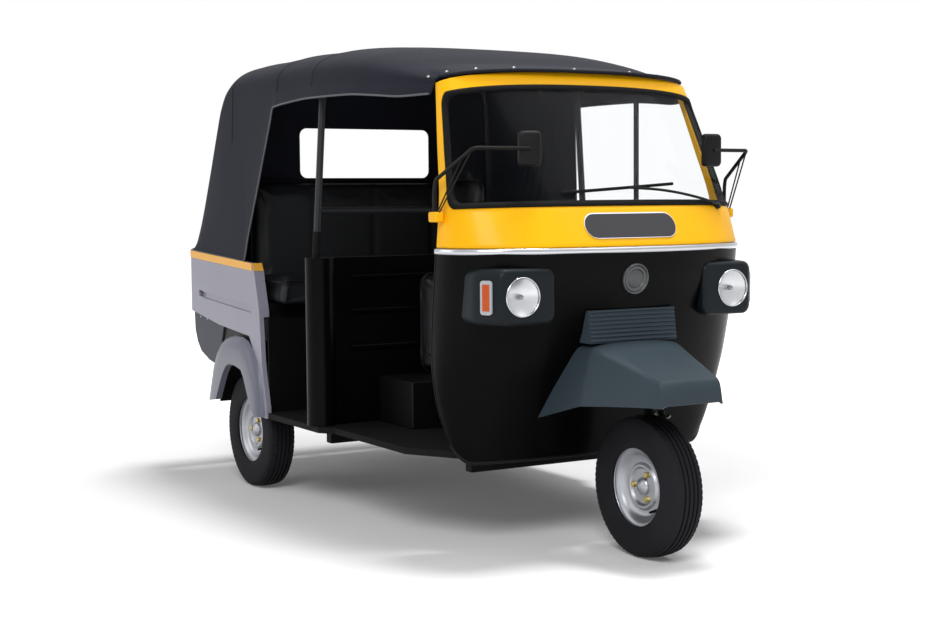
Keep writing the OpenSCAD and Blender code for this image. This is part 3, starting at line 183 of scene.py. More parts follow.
# Cast disc with a dull grey face
BADGE = material("badge_cast_zinc", "#4c4e50", rough=0.45, metal=0.6, vary=0.05)
# Sand-cast skin, with lumps of about 4 mm
ALLOY = material("engine_cast_alloy", "#7f807d", rough=0.55, metal=0.5, vary=0.12, bump=0.5, grain_mm=4.17)
# Bright and slightly blurred, so that the bowl glows behind its glass
REFLECTOR = material("lamp_silvered_bowl", "#dcdde0", rough=0.3, metal=0.8, vary=0.02)
# Sharp reflection
MIRROR = material("mirror_silvered_glass", "#e6e8ea", rough=0.05, metal=1.0, vary=0.01)
print("metals:", len(bpy.data.materials), "materials so far")

# %% [markdown]
# ## Rubber, cloth and plastic
# These scatter light, so they look matt, and each has a grain from the mould, the calender or the weave.
# That grain is a bump, because it is far too fine to model.

# %% Moulded, woven and embossed surfaces
# Mould texture of about a millimetre and a half, which breaks up the highlight
COWL = material("cowl_moulded_abs", "#343f46", rough=0.46, shine=0.15, vary=0.05, bump=0.2, grain_mm=1.43)
# The same texture, darker
BEZEL = material("housing_moulded_abs", "#151b1f", rough=0.4, shine=0.12, vary=0.05, bump=0.15, grain_mm=1.43)
# Smooth and dull
PLAQUE = material("plaque_moulded_plastic", "#39383c", rough=0.45, shine=0.2, vary=0.05)
# Dusty black with an uneven tone
RUBBER = material("moulded_rubber", "#0c0c0d", rough=0.75, shine=0.12, vary=0.15, bump=0.4)
# Worn and flat, a little lighter
FLOOR = material("floor_rubber_mat", "#101012", rough=0.7, shine=0.1, vary=0.15, bump=0.4)
# Scuffed and greyer than the mat, in patches as long as a hand
TYRE = material("tyre_vulcanised_rubber", "#1d1d21", rough=0.75, shine=0.12, vary=0.2, patch_mm=167.0,
                bump=0.5, grain_mm=5.56)
# Leather-like emboss of about a millimetre
VINYL = material("seat_embossed_vinyl", "#15171a", rough=0.5, shine=0.25, vary=0.12, bump=0.5, grain_mm=1.11)
# Threads of the cloth under its coating, faded in long patches
CANOPY = material("canopy_coated_cloth", "#1d1f28", rough=0.6, shine=0.08, vary=0.12, patch_mm=455.0,
                  bump=0.5, grain_mm=0.714)
# Pale line along the hems
PIPING = material("canopy_welted_piping", "#5a5b60", rough=0.6, shine=0.2, vary=0.08)
print("soft and moulded finishes:", len(bpy.data.materials), "materials so far")

# %% [markdown]
# ## Lenses and glass
# Coloured lenses are thick enough to look solid, so they are plain gloss plastic. The windscreen and the
# lamp glass have to be seen through. A full glass shader bends light and needs many samples; a thin sheet
# doesn't bend it much, so a clear shader with a gloss at its edges gives the same picture and less noise.

# %% Acrylic and glass
# Solid orange with a soft gloss
AMBER = material("amber_moulded_acrylic", "#c9541a", rough=0.3, coat=0.12, shine=0.25, vary=0.05)
# Milky, with a hard gloss
PEARL = material("clear_moulded_acrylic", "#a7a9b0", rough=0.2, coat=0.8, vary=0.05)
# Deep red with a soft gloss
RED = material("red_moulded_acrylic", "#98100f", rough=0.3, coat=0.1, shine=0.2, vary=0.05)
# All but invisible, until it is seen from the side
SCREEN = clear("screen_laminated_glass", "#fcfdfe", tint=1.0, gloss=0.03)
# A touch greyer, over the bowl
LENS = clear("lamp_pressed_glass", "#fafafa", tint=0.98, gloss=0.04)
print("all finishes:", len(bpy.data.materials), "materials")

# %% [markdown]
# ## Camera
# The picture was taken from the front right, at chest height. A camera could be set by eye, but its place,
# turn and lens were solved from the wheels, the mirrors and the body's lines, so that the outlines can be
# laid over each other.


# %% Solved camera
def helper(name, data):
    """Links an object to the scene."""
    obj = bpy.data.objects.new(name, data)
    bpy.context.collection.objects.link(obj)
    return obj


AXLE_X = 1.191                                     # front axle
EYE = (AXLE_X + 4.470896, -3.383842, 1.284093)
FOCAL_PX, PHOTO_W, SENSOR_W = 1585.374, 930, 36
yaw, pitch, roll = (math.radians(v) for v in (30.5403, 4.1171, -0.4412))
look = Vector((-math.cos(yaw) * math.cos(pitch), math.sin(yaw) * math.cos(pitch), -math.sin(pitch)))
level = Vector((math.sin(yaw), math.cos(yaw), 0))
rise = level.cross(look)
right = level * math.cos(roll) + rise * math.sin(roll)
above = rise * math.cos(roll) - level * math.sin(roll)
camera = helper("camera", bpy.data.cameras.new("camera"))
pose = Matrix((right, above, -look)).transposed().to_4x4()
pose.translation = Vector(EYE)
camera.matrix_world = pose
camera.data.sensor_width = SENSOR_W
camera.data.lens = FOCAL_PX * SENSOR_W / PHOTO_W
camera.data.clip_start, camera.data.clip_end = 0.05, 100
bpy.context.scene.camera = camera
print("lens", round(camera.data.lens, 1), "mm")

# %% [markdown]
# ## Solids that keep their shape
# Boxes, panels, arms and rims are right as they come. Their meshes are loose triangles, so they would look
# faceted and sharp. Nothing is changed in the mesh itself: a small node tree welds the triangles and shades
# them smooth up to a crease angle, and a Bevel after it softens the edges, as folded sheet metal and
# moulded parts have them.


# %% Trees and modifiers
def geometry_tree(name, inputs):
    """An empty geometry tree with named inputs; gives the tree, its inputs' outputs and their identifiers."""
    tree = bpy.data.node_groups.new(name, "GeometryNodeTree")
    idents = {}
    for label, kind in (("Geometry", "NodeSocketGeometry"), *inputs):
        idents[label] = tree.interface.new_socket(label, in_out="INPUT", socket_type=kind).identifier
    tree.interface.new_socket("Geometry", in_out="OUTPUT", socket_type="NodeSocketGeometry")
    return tree, add_node(tree, "NodeGroupInput").outputs, idents


WELD, BEVEL_ANGLE = 1e-5, math.radians(40)
SMOOTH, given, SMOOTH_IDS = geometry_tree("smooth_to_crease", [("Crease angle", "NodeSocketFloat")])
plain = add_node(SMOOTH, "GeometryNodeRemoveAttribute", {"Name": "custom_normal"}, {0: given["Geometry"]})
weld = add_node(SMOOTH, "GeometryNodeMergeByDistance", {"Distance": WELD}, {0: plain.outputs[0]})
faces = add_node(SMOOTH, "GeometryNodeSetShadeSmooth", links={0: weld.outputs[0]})
bend = add_node(SMOOTH, "GeometryNodeInputMeshEdgeAngle")
crease = add_node(SMOOTH, "FunctionNodeCompare", {"data_type": "FLOAT", "operation": "GREATER_THAN"},
                  {"A": bend.outputs["Unsigned Angle"], "B": given["Crease angle"]})
edges = add_node(SMOOTH, "GeometryNodeSetShadeSmooth", {"domain": "EDGE", "Shade Smooth": False},
                 {0: faces.outputs[0], "Selection": crease.outputs[0]})
add_node(SMOOTH, "NodeGroupOutput", links={0: edges.outputs[0]})


def dress(name, mat, bevel=0.0, angle=35.0):
    """Gives a solid its finish, smooth shading and, where asked, softened edges."""
    obj = nodes[name]
    for slot in obj.material_slots:
        slot.material = mat
    smooth = obj.modifiers.new("smooth", "NODES")
    smooth.node_group = SMOOTH
    smooth[SMOOTH_IDS["Crease angle"]] = math.radians(angle)
    if bevel:
        soft = obj.modifiers.new("soft_edges", "BEVEL")
        soft.width, soft.segments, soft.limit_method = bevel, 2, "ANGLE"
        soft.angle_limit = BEVEL_ANGLE
        soft.harden_normals = True


print("tree", SMOOTH.name, "with", len(SMOOTH.nodes), "nodes")

# %% Finish and edge radius of each solid
for name, mat, bevel in (
        ("chassis", CHASSIS, 0.003), ("floor_pan", FLOOR, 0.003), ("indicators", PEARL, 0.003),
        ("column_housing", SATIN, 0.0), ("partition", BLACK, 0.006), ("grab_frame", POLE, 0.0),
        ("driver_box", SATIN, 0.006), ("rear_box", SATIN, 0.006), ("side_right", PANEL, 0.0),
        ("side_left", PANEL, 0.0), ("side_stripes", STRIPE, 0.001), ("wheel_houses", CHASSIS, 0.0),
        ("skirts", SKIRT, 0.002), ("tail_panel", PANEL, 0.002), ("tail_hatch", PANEL, 0.002),
        ("tail_lamps", RED, 0.005), ("engine", ALLOY, 0.012), ("spring_towers", CHASSIS, 0.002),
        ("rear_arms", CHASSIS, 0.0), ("steering_fork", CHASSIS, 0.0), ("handlebar", SATIN, 0.0)):
    dress(name, mat, bevel)
for name, mat, angle in (
        ("canopy_bows", POLE, 40), ("fenders", FENDER, 55), ("rear_springs", SPRING, 50),
        ("front_spring", SPRING, 50), ("front_rim", RIM, 32), ("rear_rim_right", RIM, 32),
        ("rear_rim_left", RIM, 32)):
    dress(name, mat, angle=angle)
dress("cowl_ribs", COWL, 0.001, 30)
print("dressed", sum("smooth" in obj.modifiers for obj in nodes.values()), "solids")

# %% [markdown]
# ## Front shell
# The nose and the screen frame are one pressed form that bulges forward and narrows to the floor. Sculpting
# it would make it hard to fit the glass and the trim to it. Here it is a rule: a table gives half widths
# and depths at some heights, a smooth curve runs through the rows, and at each height a superellipse turns
# from straight ahead to the sides. Everything on the front asks this rule for its points, so all of it
# fits.

# %% Sizes of the shell
BELT_Z, STRIP_H = 1.079, 0.022
FRAME_LOW = BELT_Z + STRIP_H
HEADER_Z, HEADER_CROWN = 1.69, 0.045
NOSE_LOW, NOSE_HALF = 0.32, 0.642
EDGE_BACK, FRONT_BACK = 0.376, 0.062
NOSE_DEPTH = EDGE_BACK - FRONT_BACK
SHELL_POWER = 2.4
# Columns, all shares: height, half width, how far back the side edge is, how far back the front is
NOSE_SHARES = [(0, 0.835, 0.118, 0.869), (0.145, 0.911, 0.118, 0.758), (0.329, 0.974, 0.124, 0.567),
               (0.5, 0.997, 0.124, 0.344), (0.632, 1, 0.108, 0.2), (0.738, 1, 0.083, 0.115),
               (0.875, 1, 0.038, 0.032), (1, 1, 0, 0)]
FRAME_SHARES = [(0, 1, 0, 0), (0.244, 0.974, 0.029, 0.232), (0.626, 0.922, 0.236, 0.6),
                (1, 0.866, 0.465, 0.997), (1.085, 0.853, 0.522, 1.09)]


print("nose", round(BELT_Z - NOSE_LOW, 3), "m high and", 2 * NOSE_HALF, "m wide")


# %% Points of the shell
def spline(x, xs, ys):
    """Smooth curve through the rows of a table, with no overshoot."""
    x, xs, ys = np.asarray(x, float), np.asarray(xs, float), np.asarray(ys, float)
    step = np.diff(xs)
    rise = np.diff(ys) / step
    slope = np.concatenate([rise[:1], np.zeros(len(xs) - 2), rise[-1:]])
    same = rise[:-1] * rise[1:] > 0
    slope[1:-1][same] = 2 * (rise[:-1] * rise[1:])[same] / (rise[:-1] + rise[1:])[same]
    i = np.clip(np.searchsorted(xs, x, side="right") - 1, 0, len(xs) - 2)
    t = (np.clip(x, xs[0], xs[-1]) - xs[i]) / step[i]
    return ((1 + 2 * t) * (1 - t) ** 2 * ys[i] + t * (1 - t) ** 2 * step[i] * slope[i]
            + t * t * (3 - 2 * t) * ys[i + 1] + t * t * (t - 1) * step[i] * slope[i + 1])


def shell_rows(shares, low, high):
    """Table of heights, half widths, edge and front depths in metres."""
    s = np.array(shares)
    return np.stack([low + s[:, 0] * (high - low), s[:, 1] * NOSE_HALF,
                     EDGE_BACK + s[:, 2] * NOSE_DEPTH, FRONT_BACK + s[:, 3] * NOSE_DEPTH], 1)


NOSE = shell_rows(NOSE_SHARES, NOSE_LOW, BELT_Z)
SCREEN_ROWS = shell_rows(FRAME_SHARES, FRAME_LOW, HEADER_Z)


def shell(turn, z, inset=0.0, rows=NOSE):
    """Points of the front shell at turns from straight ahead and heights."""
    width, edge, front = (spline(z, rows[:, 0], rows[:, k]) for k in (1, 2, 3))
    along = np.maximum(np.cos(turn), 0) ** (2 / SHELL_POWER)
    across = np.sign(np.sin(turn)) * np.abs(np.sin(turn)) ** (2 / SHELL_POWER)
    x = AXLE_X - (edge + (front + inset - edge) * along)
    return np.stack([x, (width - inset) * across, z + 0 * x], -1)


def screen(turn, z, inset=0.0):
    """The shell above the belt, where heights rise to a crowned header."""
    lift = HEADER_CROWN * np.cos(turn) * np.maximum(0, z - FRAME_LOW) / (HEADER_Z - FRAME_LOW)
    return shell(turn, z + lift, inset, SCREEN_ROWS)


def on_front(y, z, inset=0.0):
    """Point of the front at a side distance and a height."""
    rows = SCREEN_ROWS if z > BELT_Z else NOSE
    width = float(spline(z, rows[:, 0], rows[:, 1]))
    turn = math.asin(min(abs(y) / width, 1.0) ** (SHELL_POWER / 2))
    return shell(math.copysign(turn, y), z, inset, rows)


print("front of the nose at the belt: X", round(float(on_front(0, BELT_Z)[0]), 3), "m")

# %% [markdown]
# ## Meshes from grids
# Most pieces here are skins over rows of points. A slab joins two matching grids round their rim, so a
# sheet has thickness. A sweep joins rings along a path, which gives tubes and mouldings. Blender's own
# curve bevel would do for tubes, but rings can also change their shape on the way.


# %% A piece on a body
def put(name, mesh, mat, body="body", angle=38.0):
    """Links a mesh as a piece that rides on a body, smooth up to an angle between its faces."""
    mesh.materials.clear()
    mesh.materials.append(mat)
    mesh.shade_smooth()
    mesh.set_sharp_from_angle(angle=math.radians(angle))
    obj = helper(name, mesh)
    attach(obj, body)
    return obj


def raw(name, verts, faces):
    """Mesh with its doubles merged and its faces turned outwards."""
    mesh = bpy.data.meshes.new(name)
    mesh.from_pydata([tuple(float(c) for c in v) for v in verts], [], faces)
    work = bmesh.new()
    work.from_mesh(mesh)
    bmesh.ops.remove_doubles(work, verts=work.verts, dist=1e-6)
    bmesh.ops.recalc_face_normals(work, faces=work.faces)
    work.to_mesh(mesh)
    work.free()
    return mesh


def tell(label, *pieces):
    """Prints what a cell made."""
    print(label + ":", ", ".join("%s %d faces" % (p.name, len(p.data.polygons)) for p in pieces))


# %% Slabs and sweeps
def quads(rows, cols, start=0, closed_rows=False, closed_cols=False):
    """Faces of a grid of points, which may close on itself either way."""
    last_r = rows if closed_rows else rows - 1
    last_c = cols if closed_cols else cols - 1
    return [[start + r * cols + c, start + r * cols + (c + 1) % cols,
             start + ((r + 1) % rows) * cols + (c + 1) % cols, start + ((r + 1) % rows) * cols + c]
            for r in range(last_r) for c in range(last_c)]


def slab(name, front, rear):
    """Closed solid between two matching grids of points."""
    front, rear = np.asarray(front), np.asarray(rear)
    rows, cols = front.shape[:2]
    size = rows * cols
    faces = quads(rows, cols) + [f[::-1] for f in quads(rows, cols, size)]
    rim = ([r * cols for r in range(rows)] + [(rows - 1) * cols + c for c in range(1, cols)]
           + [r * cols + cols - 1 for r in range(rows - 2, -1, -1)] + [c for c in range(cols - 2, 0, -1)])
    faces += [[a, b, b + size, a + size] for a, b in zip(rim, rim[1:] + rim[:1])]
    return raw(name, np.concatenate([front.reshape(-1, 3), rear.reshape(-1, 3)]), faces)


def sweep(name, rings, closed=False):
    """Skin over matching closed rings, with flat ends unless the sweep closes on itself."""
    rings = np.asarray(rings)
    rows, cols = rings.shape[:2]
    faces = quads(rows, cols, closed_rows=closed, closed_cols=True)
    if not closed:
        faces += [list(range(cols)), [(rows - 1) * cols + c for c in range(cols)]]
    return raw(name, rings.reshape(-1, 3), faces)


print("a grid of 4 by 5 points has", len(quads(4, 5)), "faces")


# %% Tubes
def tube_rings(path, radius, sides, closed):
    """Rings square to a path, carried along it without a twist."""
    path = np.asarray(path, float)
    ahead = np.roll(path, -1, 0) - np.roll(path, 1, 0)
    if not closed:
        ahead[0], ahead[-1] = path[1] - path[0], path[-1] - path[-2]
    ahead /= np.linalg.norm(ahead, axis=1)[:, None]
    side = np.cross(ahead[0], [0.0, 0.0, 1.0])
    if np.linalg.norm(side) < 0.1:
        side = np.cross(ahead[0], [0.0, 1.0, 0.0])
    angles = np.linspace(0, 2 * np.pi, sides, endpoint=False)
    rings = []
    for point, way in zip(path, ahead):
        side = side - way * np.dot(side, way)
        side /= np.linalg.norm(side)
        up = np.cross(way, side)
        rings.append([point + radius * (math.cos(a) * side + math.sin(a) * up) for a in angles])
    return rings


def tube(name, path, radius, mat, body="body", sides=10, closed=False):
    return put(name, sweep(name, tube_rings(path, radius, sides, closed), closed), mat, body)


print("a tube along two points has", len(tube_rings([(0, 0, 0), (1, 0, 0)], 0.1, 10, False)), "rings")

# %% [markdown]
# ## Nose
# The nose is a thin pressed shell with a rolled edge. Its lower corners sweep up beside the doorways, and a
# stepped slot behind the cowl lets the steering column through. The sheet is a slab between the shell and
# the shell a wall thickness further in. The slot is cut with a Boolean, because its corners don't follow
# the grid.


# %% Cutting tools
def bake(obj):
    """Applies an object's modifiers to its mesh."""
    graph = bpy.context.evaluated_depsgraph_get()
    mesh = bpy.data.meshes.new_from_object(obj.evaluated_get(graph))
    obj.modifiers.clear()
    obj.data = mesh
    return obj


def carve(obj, cutter, angle=38.0):
    """Cuts a helper object out of a piece and drops the helper."""
    tool = obj.modifiers.new("cut", "BOOLEAN")
    tool.operation, tool.solver, tool.object = "DIFFERENCE", "EXACT", cutter
    bake(obj)
    obj.data.set_sharp_from_angle(angle=math.radians(angle))
    bpy.data.objects.remove(cutter)


def brick_mesh(name, low, high, bevel=0.0, segments=3):
    """Box between two corners with rounded edges."""
    work = bmesh.new()
    bmesh.ops.create_cube(work, size=1.0)
    low, high = Vector(low), Vector(high)
    for v in work.verts:
        v.co = Vector([(low[i] + high[i]) / 2 + v.co[i] * (high[i] - low[i]) for i in range(3)])
    if bevel:
        bmesh.ops.bevel(work, geom=work.edges[:], offset=bevel, segments=segments, profile=0.5,
                        affect="EDGES")
    mesh = bpy.data.meshes.new(name)
    work.to_mesh(mesh)
    work.free()
    return mesh


NOSE_T, SLOT_LOW, SLOT_HALF = 0.012, 0.54, 0.048
SLOTS = ((0.128, 0.676), (SLOT_HALF, 0.842))       # half width and top of each step
print("slot for the column:", round((SLOTS[-1][1] - SLOT_LOW) * MM), "mm high")

# %% Nose skin and rolled edges
HEM_LIFT, HEM_TURN, HEM_POWER, HEM_UP = 0.07, math.radians(64), 2.2, 0.005
EDGE_R, EDGE_IN = 0.008, 0.006
FRONT_TURNS = np.radians(np.linspace(-90, 90, 121))


def hem_z(turn):
    """Height of the nose's lower edge, which rises to the rounded corners beside the doorways."""
    past = np.clip((np.abs(turn) - HEM_TURN) / (math.pi / 2 - HEM_TURN), 0, 1)
    return NOSE_LOW + HEM_LIFT * past ** HEM_POWER


turns, shares = np.meshgrid(FRONT_TURNS, np.linspace(0, 1, 57))
levels = hem_z(turns) + shares * (BELT_Z - hem_z(turns))
nose = put("nose_skin", slab("nose_skin", shell(turns, levels), shell(turns, levels, NOSE_T)), BLACK)
for half, top in SLOTS:
    step = brick_mesh("slot", (AXLE_X - NOSE_DEPTH, -half, SLOT_LOW), (AXLE_X, half, top))
    carve(nose, helper("slot", step))
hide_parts("nose_shell")
for side, turn in (("right", -math.pi / 2), ("left", math.pi / 2)):
    upright = [shell(turn, z, EDGE_IN) for z in np.linspace(hem_z(turn), BELT_Z, 40)]
    tube("nose_edge_" + side, upright, EDGE_R, BLACK)
hem = tube("nose_hem", [shell(t, hem_z(t) + HEM_UP, EDGE_IN) for t in FRONT_TURNS], EDGE_R, SATIN)
tell("nose", nose, hem)

# %% [markdown]
# ## Belt strip
# A bright half-round strip covers the joint between the nose and the screen frame. It is swept round the
# shell, with more of its section inside than outside, as if it were clipped on.

# %% Bright strip
STRIP_PROUD, STRIP_SINK, STRIP_SIDES = 0.006, 0.01, 16


def strip_ring(turn):
    """Section of the strip at a turn from straight ahead."""
    ring = []
    for a in np.linspace(0, 2 * np.pi, STRIP_SIDES, endpoint=False):
        reach = STRIP_PROUD if math.cos(a) > 0 else STRIP_SINK
        ring.append(shell(turn, BELT_Z + STRIP_H / 2 + STRIP_H / 2 * math.sin(a), -reach * math.cos(a)))
    return ring


strip = put("belt_strip", sweep("belt_strip", [strip_ring(t) for t in FRONT_TURNS]), CHROME)
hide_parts("chrome_strip")
tell("belt", strip)

# %% [markdown]
# ## Windscreen
# The yellow frame is a band between two loops on the shell, the rubber a band between its opening and the
# glass, and the pane fills what is left. Cutting the opening with a Boolean would leave a ragged edge on a
# curved sheet. Loops of turn and height keep each edge smooth and let the rubber follow it exactly.


# %% Loops and bands
def half_edge(turn_max, low, high, turn_r, r, tall=16, arc=10):
    """Right half of a rounded loop, from the bottom to the top, as turn and height."""
    a = np.radians(np.linspace(0, 90, arc + 1))
    lower = np.stack([turn_max - turn_r * (1 - np.sin(a)), low + r * (1 - np.cos(a))], 1)
    mid = np.linspace(0, 1, tall + 1)[1:-1]
    side = np.stack([turn_max + 0 * mid, low + r + (high - low - 2 * r) * mid], 1)
    upper = np.stack([turn_max - turn_r * (1 - np.cos(a)), high - r * (1 - np.sin(a))], 1)
    return np.concatenate([lower, side, upper])


def edge_loop(edge, wide=48):
    """Whole loop of a right half, its mirror image and the level runs between them."""
    low, high = edge[0], edge[-1]
    s = np.linspace(-1, 1, 2 * wide + 1)[1:-1]
    return np.concatenate([np.stack([low[0] * s, low[1] + 0 * s], 1), edge,
                           np.stack([-high[0] * s, high[1] + 0 * s], 1), (edge * [-1, 1])[::-1]])


def band(name, outer, inner, section, mat):
    """Closed band; section holds pairs of a share from the outer to the inner loop and an inset."""
    rings = []
    for share, inset in section:
        loop = outer + (inner - outer) * share
        rings.append(screen(np.radians(loop[:, 0]), loop[:, 1], inset))
    return put(name, sweep(name, np.stack(rings, 1), closed=True), mat, angle=50)


BAND_H, HEADER_H, RUBBER_W = 0.136, 0.046, 0.016
PILLAR, CORNER, GLASS_STEP, CORNER_R = 81.0, 7.0, 3.0, 0.046       # turns in degrees, then a radius
open_low, open_high = FRAME_LOW + BAND_H, HEADER_Z - HEADER_H
opening = edge_loop(half_edge(PILLAR, open_low, open_high, CORNER, CORNER_R))
pane_edge = half_edge(PILLAR - GLASS_STEP, open_low + RUBBER_W, open_high - RUBBER_W, CORNER,
                      CORNER_R - RUBBER_W / 2)
rim_loop = edge_loop(half_edge(90.0, FRAME_LOW, HEADER_Z, 0.0, 0.0))
print("opening", round(open_high - open_low, 3), "m high,", len(opening), "points round it")

# %% Frame, rubber and pane
FRAME_T, GLASS_T = 0.028, 0.006
FRAME_SECTION = ([(0, 0.007), (0.02, 0.002), (0.05, 0)] + [(s, 0) for s in np.linspace(0.12, 0.9, 9)]
                 + [(0.96, 0.0005), (0.99, 0.003), (1, 0.008), (1, FRAME_T), (0, FRAME_T)])
RUBBER_SECTION = [(-0.1, 0.012), (-0.1, -0.001), (0.15, -0.005), (0.6, -0.005), (0.95, -0.001), (1.1, 0.004),
                  (1.1, 0.016), (-0.1, 0.024)]
surround = band("screen_surround", rim_loop, opening, FRAME_SECTION, YELLOW)
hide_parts("screen_frame")
rubber = band("screen_rubber", opening, edge_loop(pane_edge), RUBBER_SECTION, RUBBER)
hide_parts("screen_gasket")
spread = np.linspace(-1, 1, 61)
pane_turns, pane_z = np.radians(pane_edge[:, :1] * spread), pane_edge[:, 1:] + 0 * spread
pane = put("windscreen_pane", slab("windscreen_pane", screen(pane_turns, pane_z, GLASS_T),
                                   screen(pane_turns, pane_z, 2 * GLASS_T)), SCREEN)
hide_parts("windscreen")
tell("windscreen", surround, rubber, pane)

# %% [markdown]
# ## Cowl
# The cowl is a moulded hood over the front wheel: a raised middle between two creases, wings that flare out
# to the sides and a rounded lip at the front. Bending a plane would lose the creases. Here a section is
# drawn from a few knots whose corners are cut three times, which keeps the creases tight and the flats
# flat, and a table moves the knots from the lip to the fold. Behind the fold the sections run on until they
# meet the shell.

# %% Sizes of the cowl
COWL_FRONT, COWL_RUN, COWL_HALF, COWL_T = AXLE_X + 0.258, 0.325, 0.196, 0.006
LIP_Z, FOLD_Z, LIP_H, LIP_EDGE, TIP_HALF, TIP_Z = 0.634, 0.749, 0.07, 0.012, 0.277, 0.482
LIP_ROUND, COWL_RISE, MID_RISE, COWL_SEAT = 0.07, 0.011, 1.3, 0.004
COLUMN_BACK, COLUMN_CUT = 0.1, 0.03
# Columns, all shares: place from lip to fold, top half width, top height, low half width, low edge, crease
COWL_SHARES = np.array([
    (0, 0.63, 0, 0.66, 0, 0.94), (0.1, 0.68, 0.1, 0.76, 0, 0.93), (0.55, 0.84, 0.55, 1, -0.1, 0.8),
    (1, 1, 1, 1.24, -0.25, 0.56)])


print("cowl", COWL_RUN, "m from its lip to its fold")


# %% Sections of the cowl
def cut_corners(points, times=3):
    """Rounds a polyline by cutting its corners a few times, and keeps its ends."""
    pts = np.asarray(points, float)
    for _ in range(times):
        cur, nxt = pts[:-1], pts[1:]
        mid = np.stack([0.75 * cur + 0.25 * nxt, 0.25 * cur + 0.75 * nxt], 1).reshape(-1, pts.shape[1])
        pts = np.concatenate([pts[:1], mid, pts[-1:]])
    return pts


def cowl_section(top_half, top_z, low_half, low_z, crease, rise):
    """Right half from the low edge to the middle, mirrored to a whole section of Y and Z."""
    low, top = np.array([low_half, low_z]), np.array([top_half, top_z])
    fold, mid = np.array([top_half * crease, top_z + rise]), np.array([0.0, top_z + rise * MID_RISE])
    knots = [low, low + (top - low) * 0.5, low + (top - low) * 0.9, top + (fold - top) * 0.12,
             top + (fold - top) * 0.9, fold, fold + (mid - fold) * 0.05, fold + (mid - fold) * 0.5, mid]
    half = cut_corners(knots)
    return np.concatenate([half * [-1, 1], half[::-1][1:]])


def cowl_ring(place, shrink):
    """Section at a share of the way from the lip to the fold; shrink gives the inner face."""
    top_half, top, low_half, low, crease = (
        float(spline(place, COWL_SHARES[:, 0], COWL_SHARES[:, k])) for k in range(1, 6))
    round_off = math.sqrt(max(0.0, 1 - max(0.0, 1 - place / LIP_ROUND) ** 2))
    low_z = LIP_Z - LIP_H + low * LIP_H
    full_z = LIP_Z + top * (FOLD_Z - LIP_Z)
    top_z = low_z + LIP_EDGE + (full_z - low_z - LIP_EDGE) * round_off
    flat = cowl_section(top_half * COWL_HALF - shrink, top_z - shrink, low_half * COWL_HALF - shrink, low_z,
                        crease, COWL_RISE * round_off)
    x = COWL_FRONT - place * COWL_RUN - shrink
    return np.concatenate([np.full((len(flat), 1), x), flat], 1)


def cowl_grid(shrink=0.0):
    """All sections, with the last ones drawn out to the shell."""
    places = np.concatenate([np.linspace(0, 0.08, 9), np.linspace(0.1, 1, 28)])
    rings = [cowl_ring(p, shrink) for p in places]
    root = cowl_section(COWL_HALF - shrink, FOLD_Z - shrink, TIP_HALF - shrink, TIP_Z, COWL_SHARES[-1, 5],
                        COWL_RISE)
    seat = np.array([on_front(y, z, COWL_SEAT) for y, z in root])
    return rings + [rings[-1] + (seat - rings[-1]) * t for t in np.linspace(0, 1, 15)[1:]]


print("a section of the cowl has", len(cowl_ring(0.5, 0.0)), "points")

# %% Cowl skin
cowl = put("cowl_skin", slab("cowl_skin", cowl_grid(), cowl_grid(COWL_T)), COWL, angle=70)
column = brick_mesh("slot", (AXLE_X - NOSE_DEPTH, -SLOT_HALF, FOLD_Z - COLUMN_CUT),
                    (AXLE_X - COLUMN_BACK, SLOT_HALF, FOLD_Z + COLUMN_CUT))
carve(cowl, helper("slot", column), 70)
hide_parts("cowl")
tell("cowl", cowl)

# %% [markdown]
# ## Plaque and badge
# A plain plate with rounded ends lies on the yellow band, in a bright rim, and a plain round badge on the
# nose. A flat plate would stick out at its ends, so the plaque asks the shell for each of its points. The
# badge is small enough to stay flat, so it is a profile turned on the shell's slope, with rings like a cast
# disc.

# %% Plate on the band
PLATE_AT, PLATE_SINK = (0.004, 1.176), 0.002


def patch(name, half, r, proud, mat, cols=49, rows=13):
    """Plate with rounded ends that follows the front."""
    heights = r * np.sin(np.radians(np.linspace(-90, 90, rows)))

    def row(h, inset):
        reach = half - r + math.sqrt(max(0.0, r * r - h * h))
        return [on_front(PLATE_AT[0] + s * reach, PLATE_AT[1] + h, inset) for s in np.linspace(-1, 1, cols)]

    def grid(inset):
        return [row(h, inset) for h in heights]
    return put(name, slab(name, grid(-proud), grid(PLATE_SINK)), mat)


tell("plaque", patch("plaque_rim", 0.199, 0.045, 0.004, CHROME),
     patch("plaque", 0.195, 0.041, 0.0065, PLAQUE))


# %% Badge
def frame_at(origin, forward):
    """Matrix whose Z is forward and whose Y is near upright."""
    z = Vector(forward).normalized()
    x = Vector((0, 0, 1)).cross(z).normalized()
    y = z.cross(x)
    mat = Matrix((x, y, z)).transposed().to_4x4()
    mat.translation = Vector(origin)
    return mat


def turned(profile, matrix, steps=64):
    """Verts and faces of a profile of (radius, height) points turned about the matrix's Z."""
    angles = np.linspace(0, 2 * np.pi, steps, endpoint=False)
    verts = [matrix @ Vector((r * math.cos(a), r * math.sin(a), h)) for a in angles for r, h in profile]
    return verts, quads(steps, len(profile), closed_rows=True)


def lathe(name, profile, matrices, mat, body="body", steps=64):
    """One piece of the same turned profile at each matrix."""
    verts, faces = [], []
    for matrix in matrices:
        more, skin = turned(profile, matrix, steps)
        faces += [[i + len(verts) for i in face] for face in skin]
        verts += more
    return put(name, raw(name, verts, faces), mat, body)


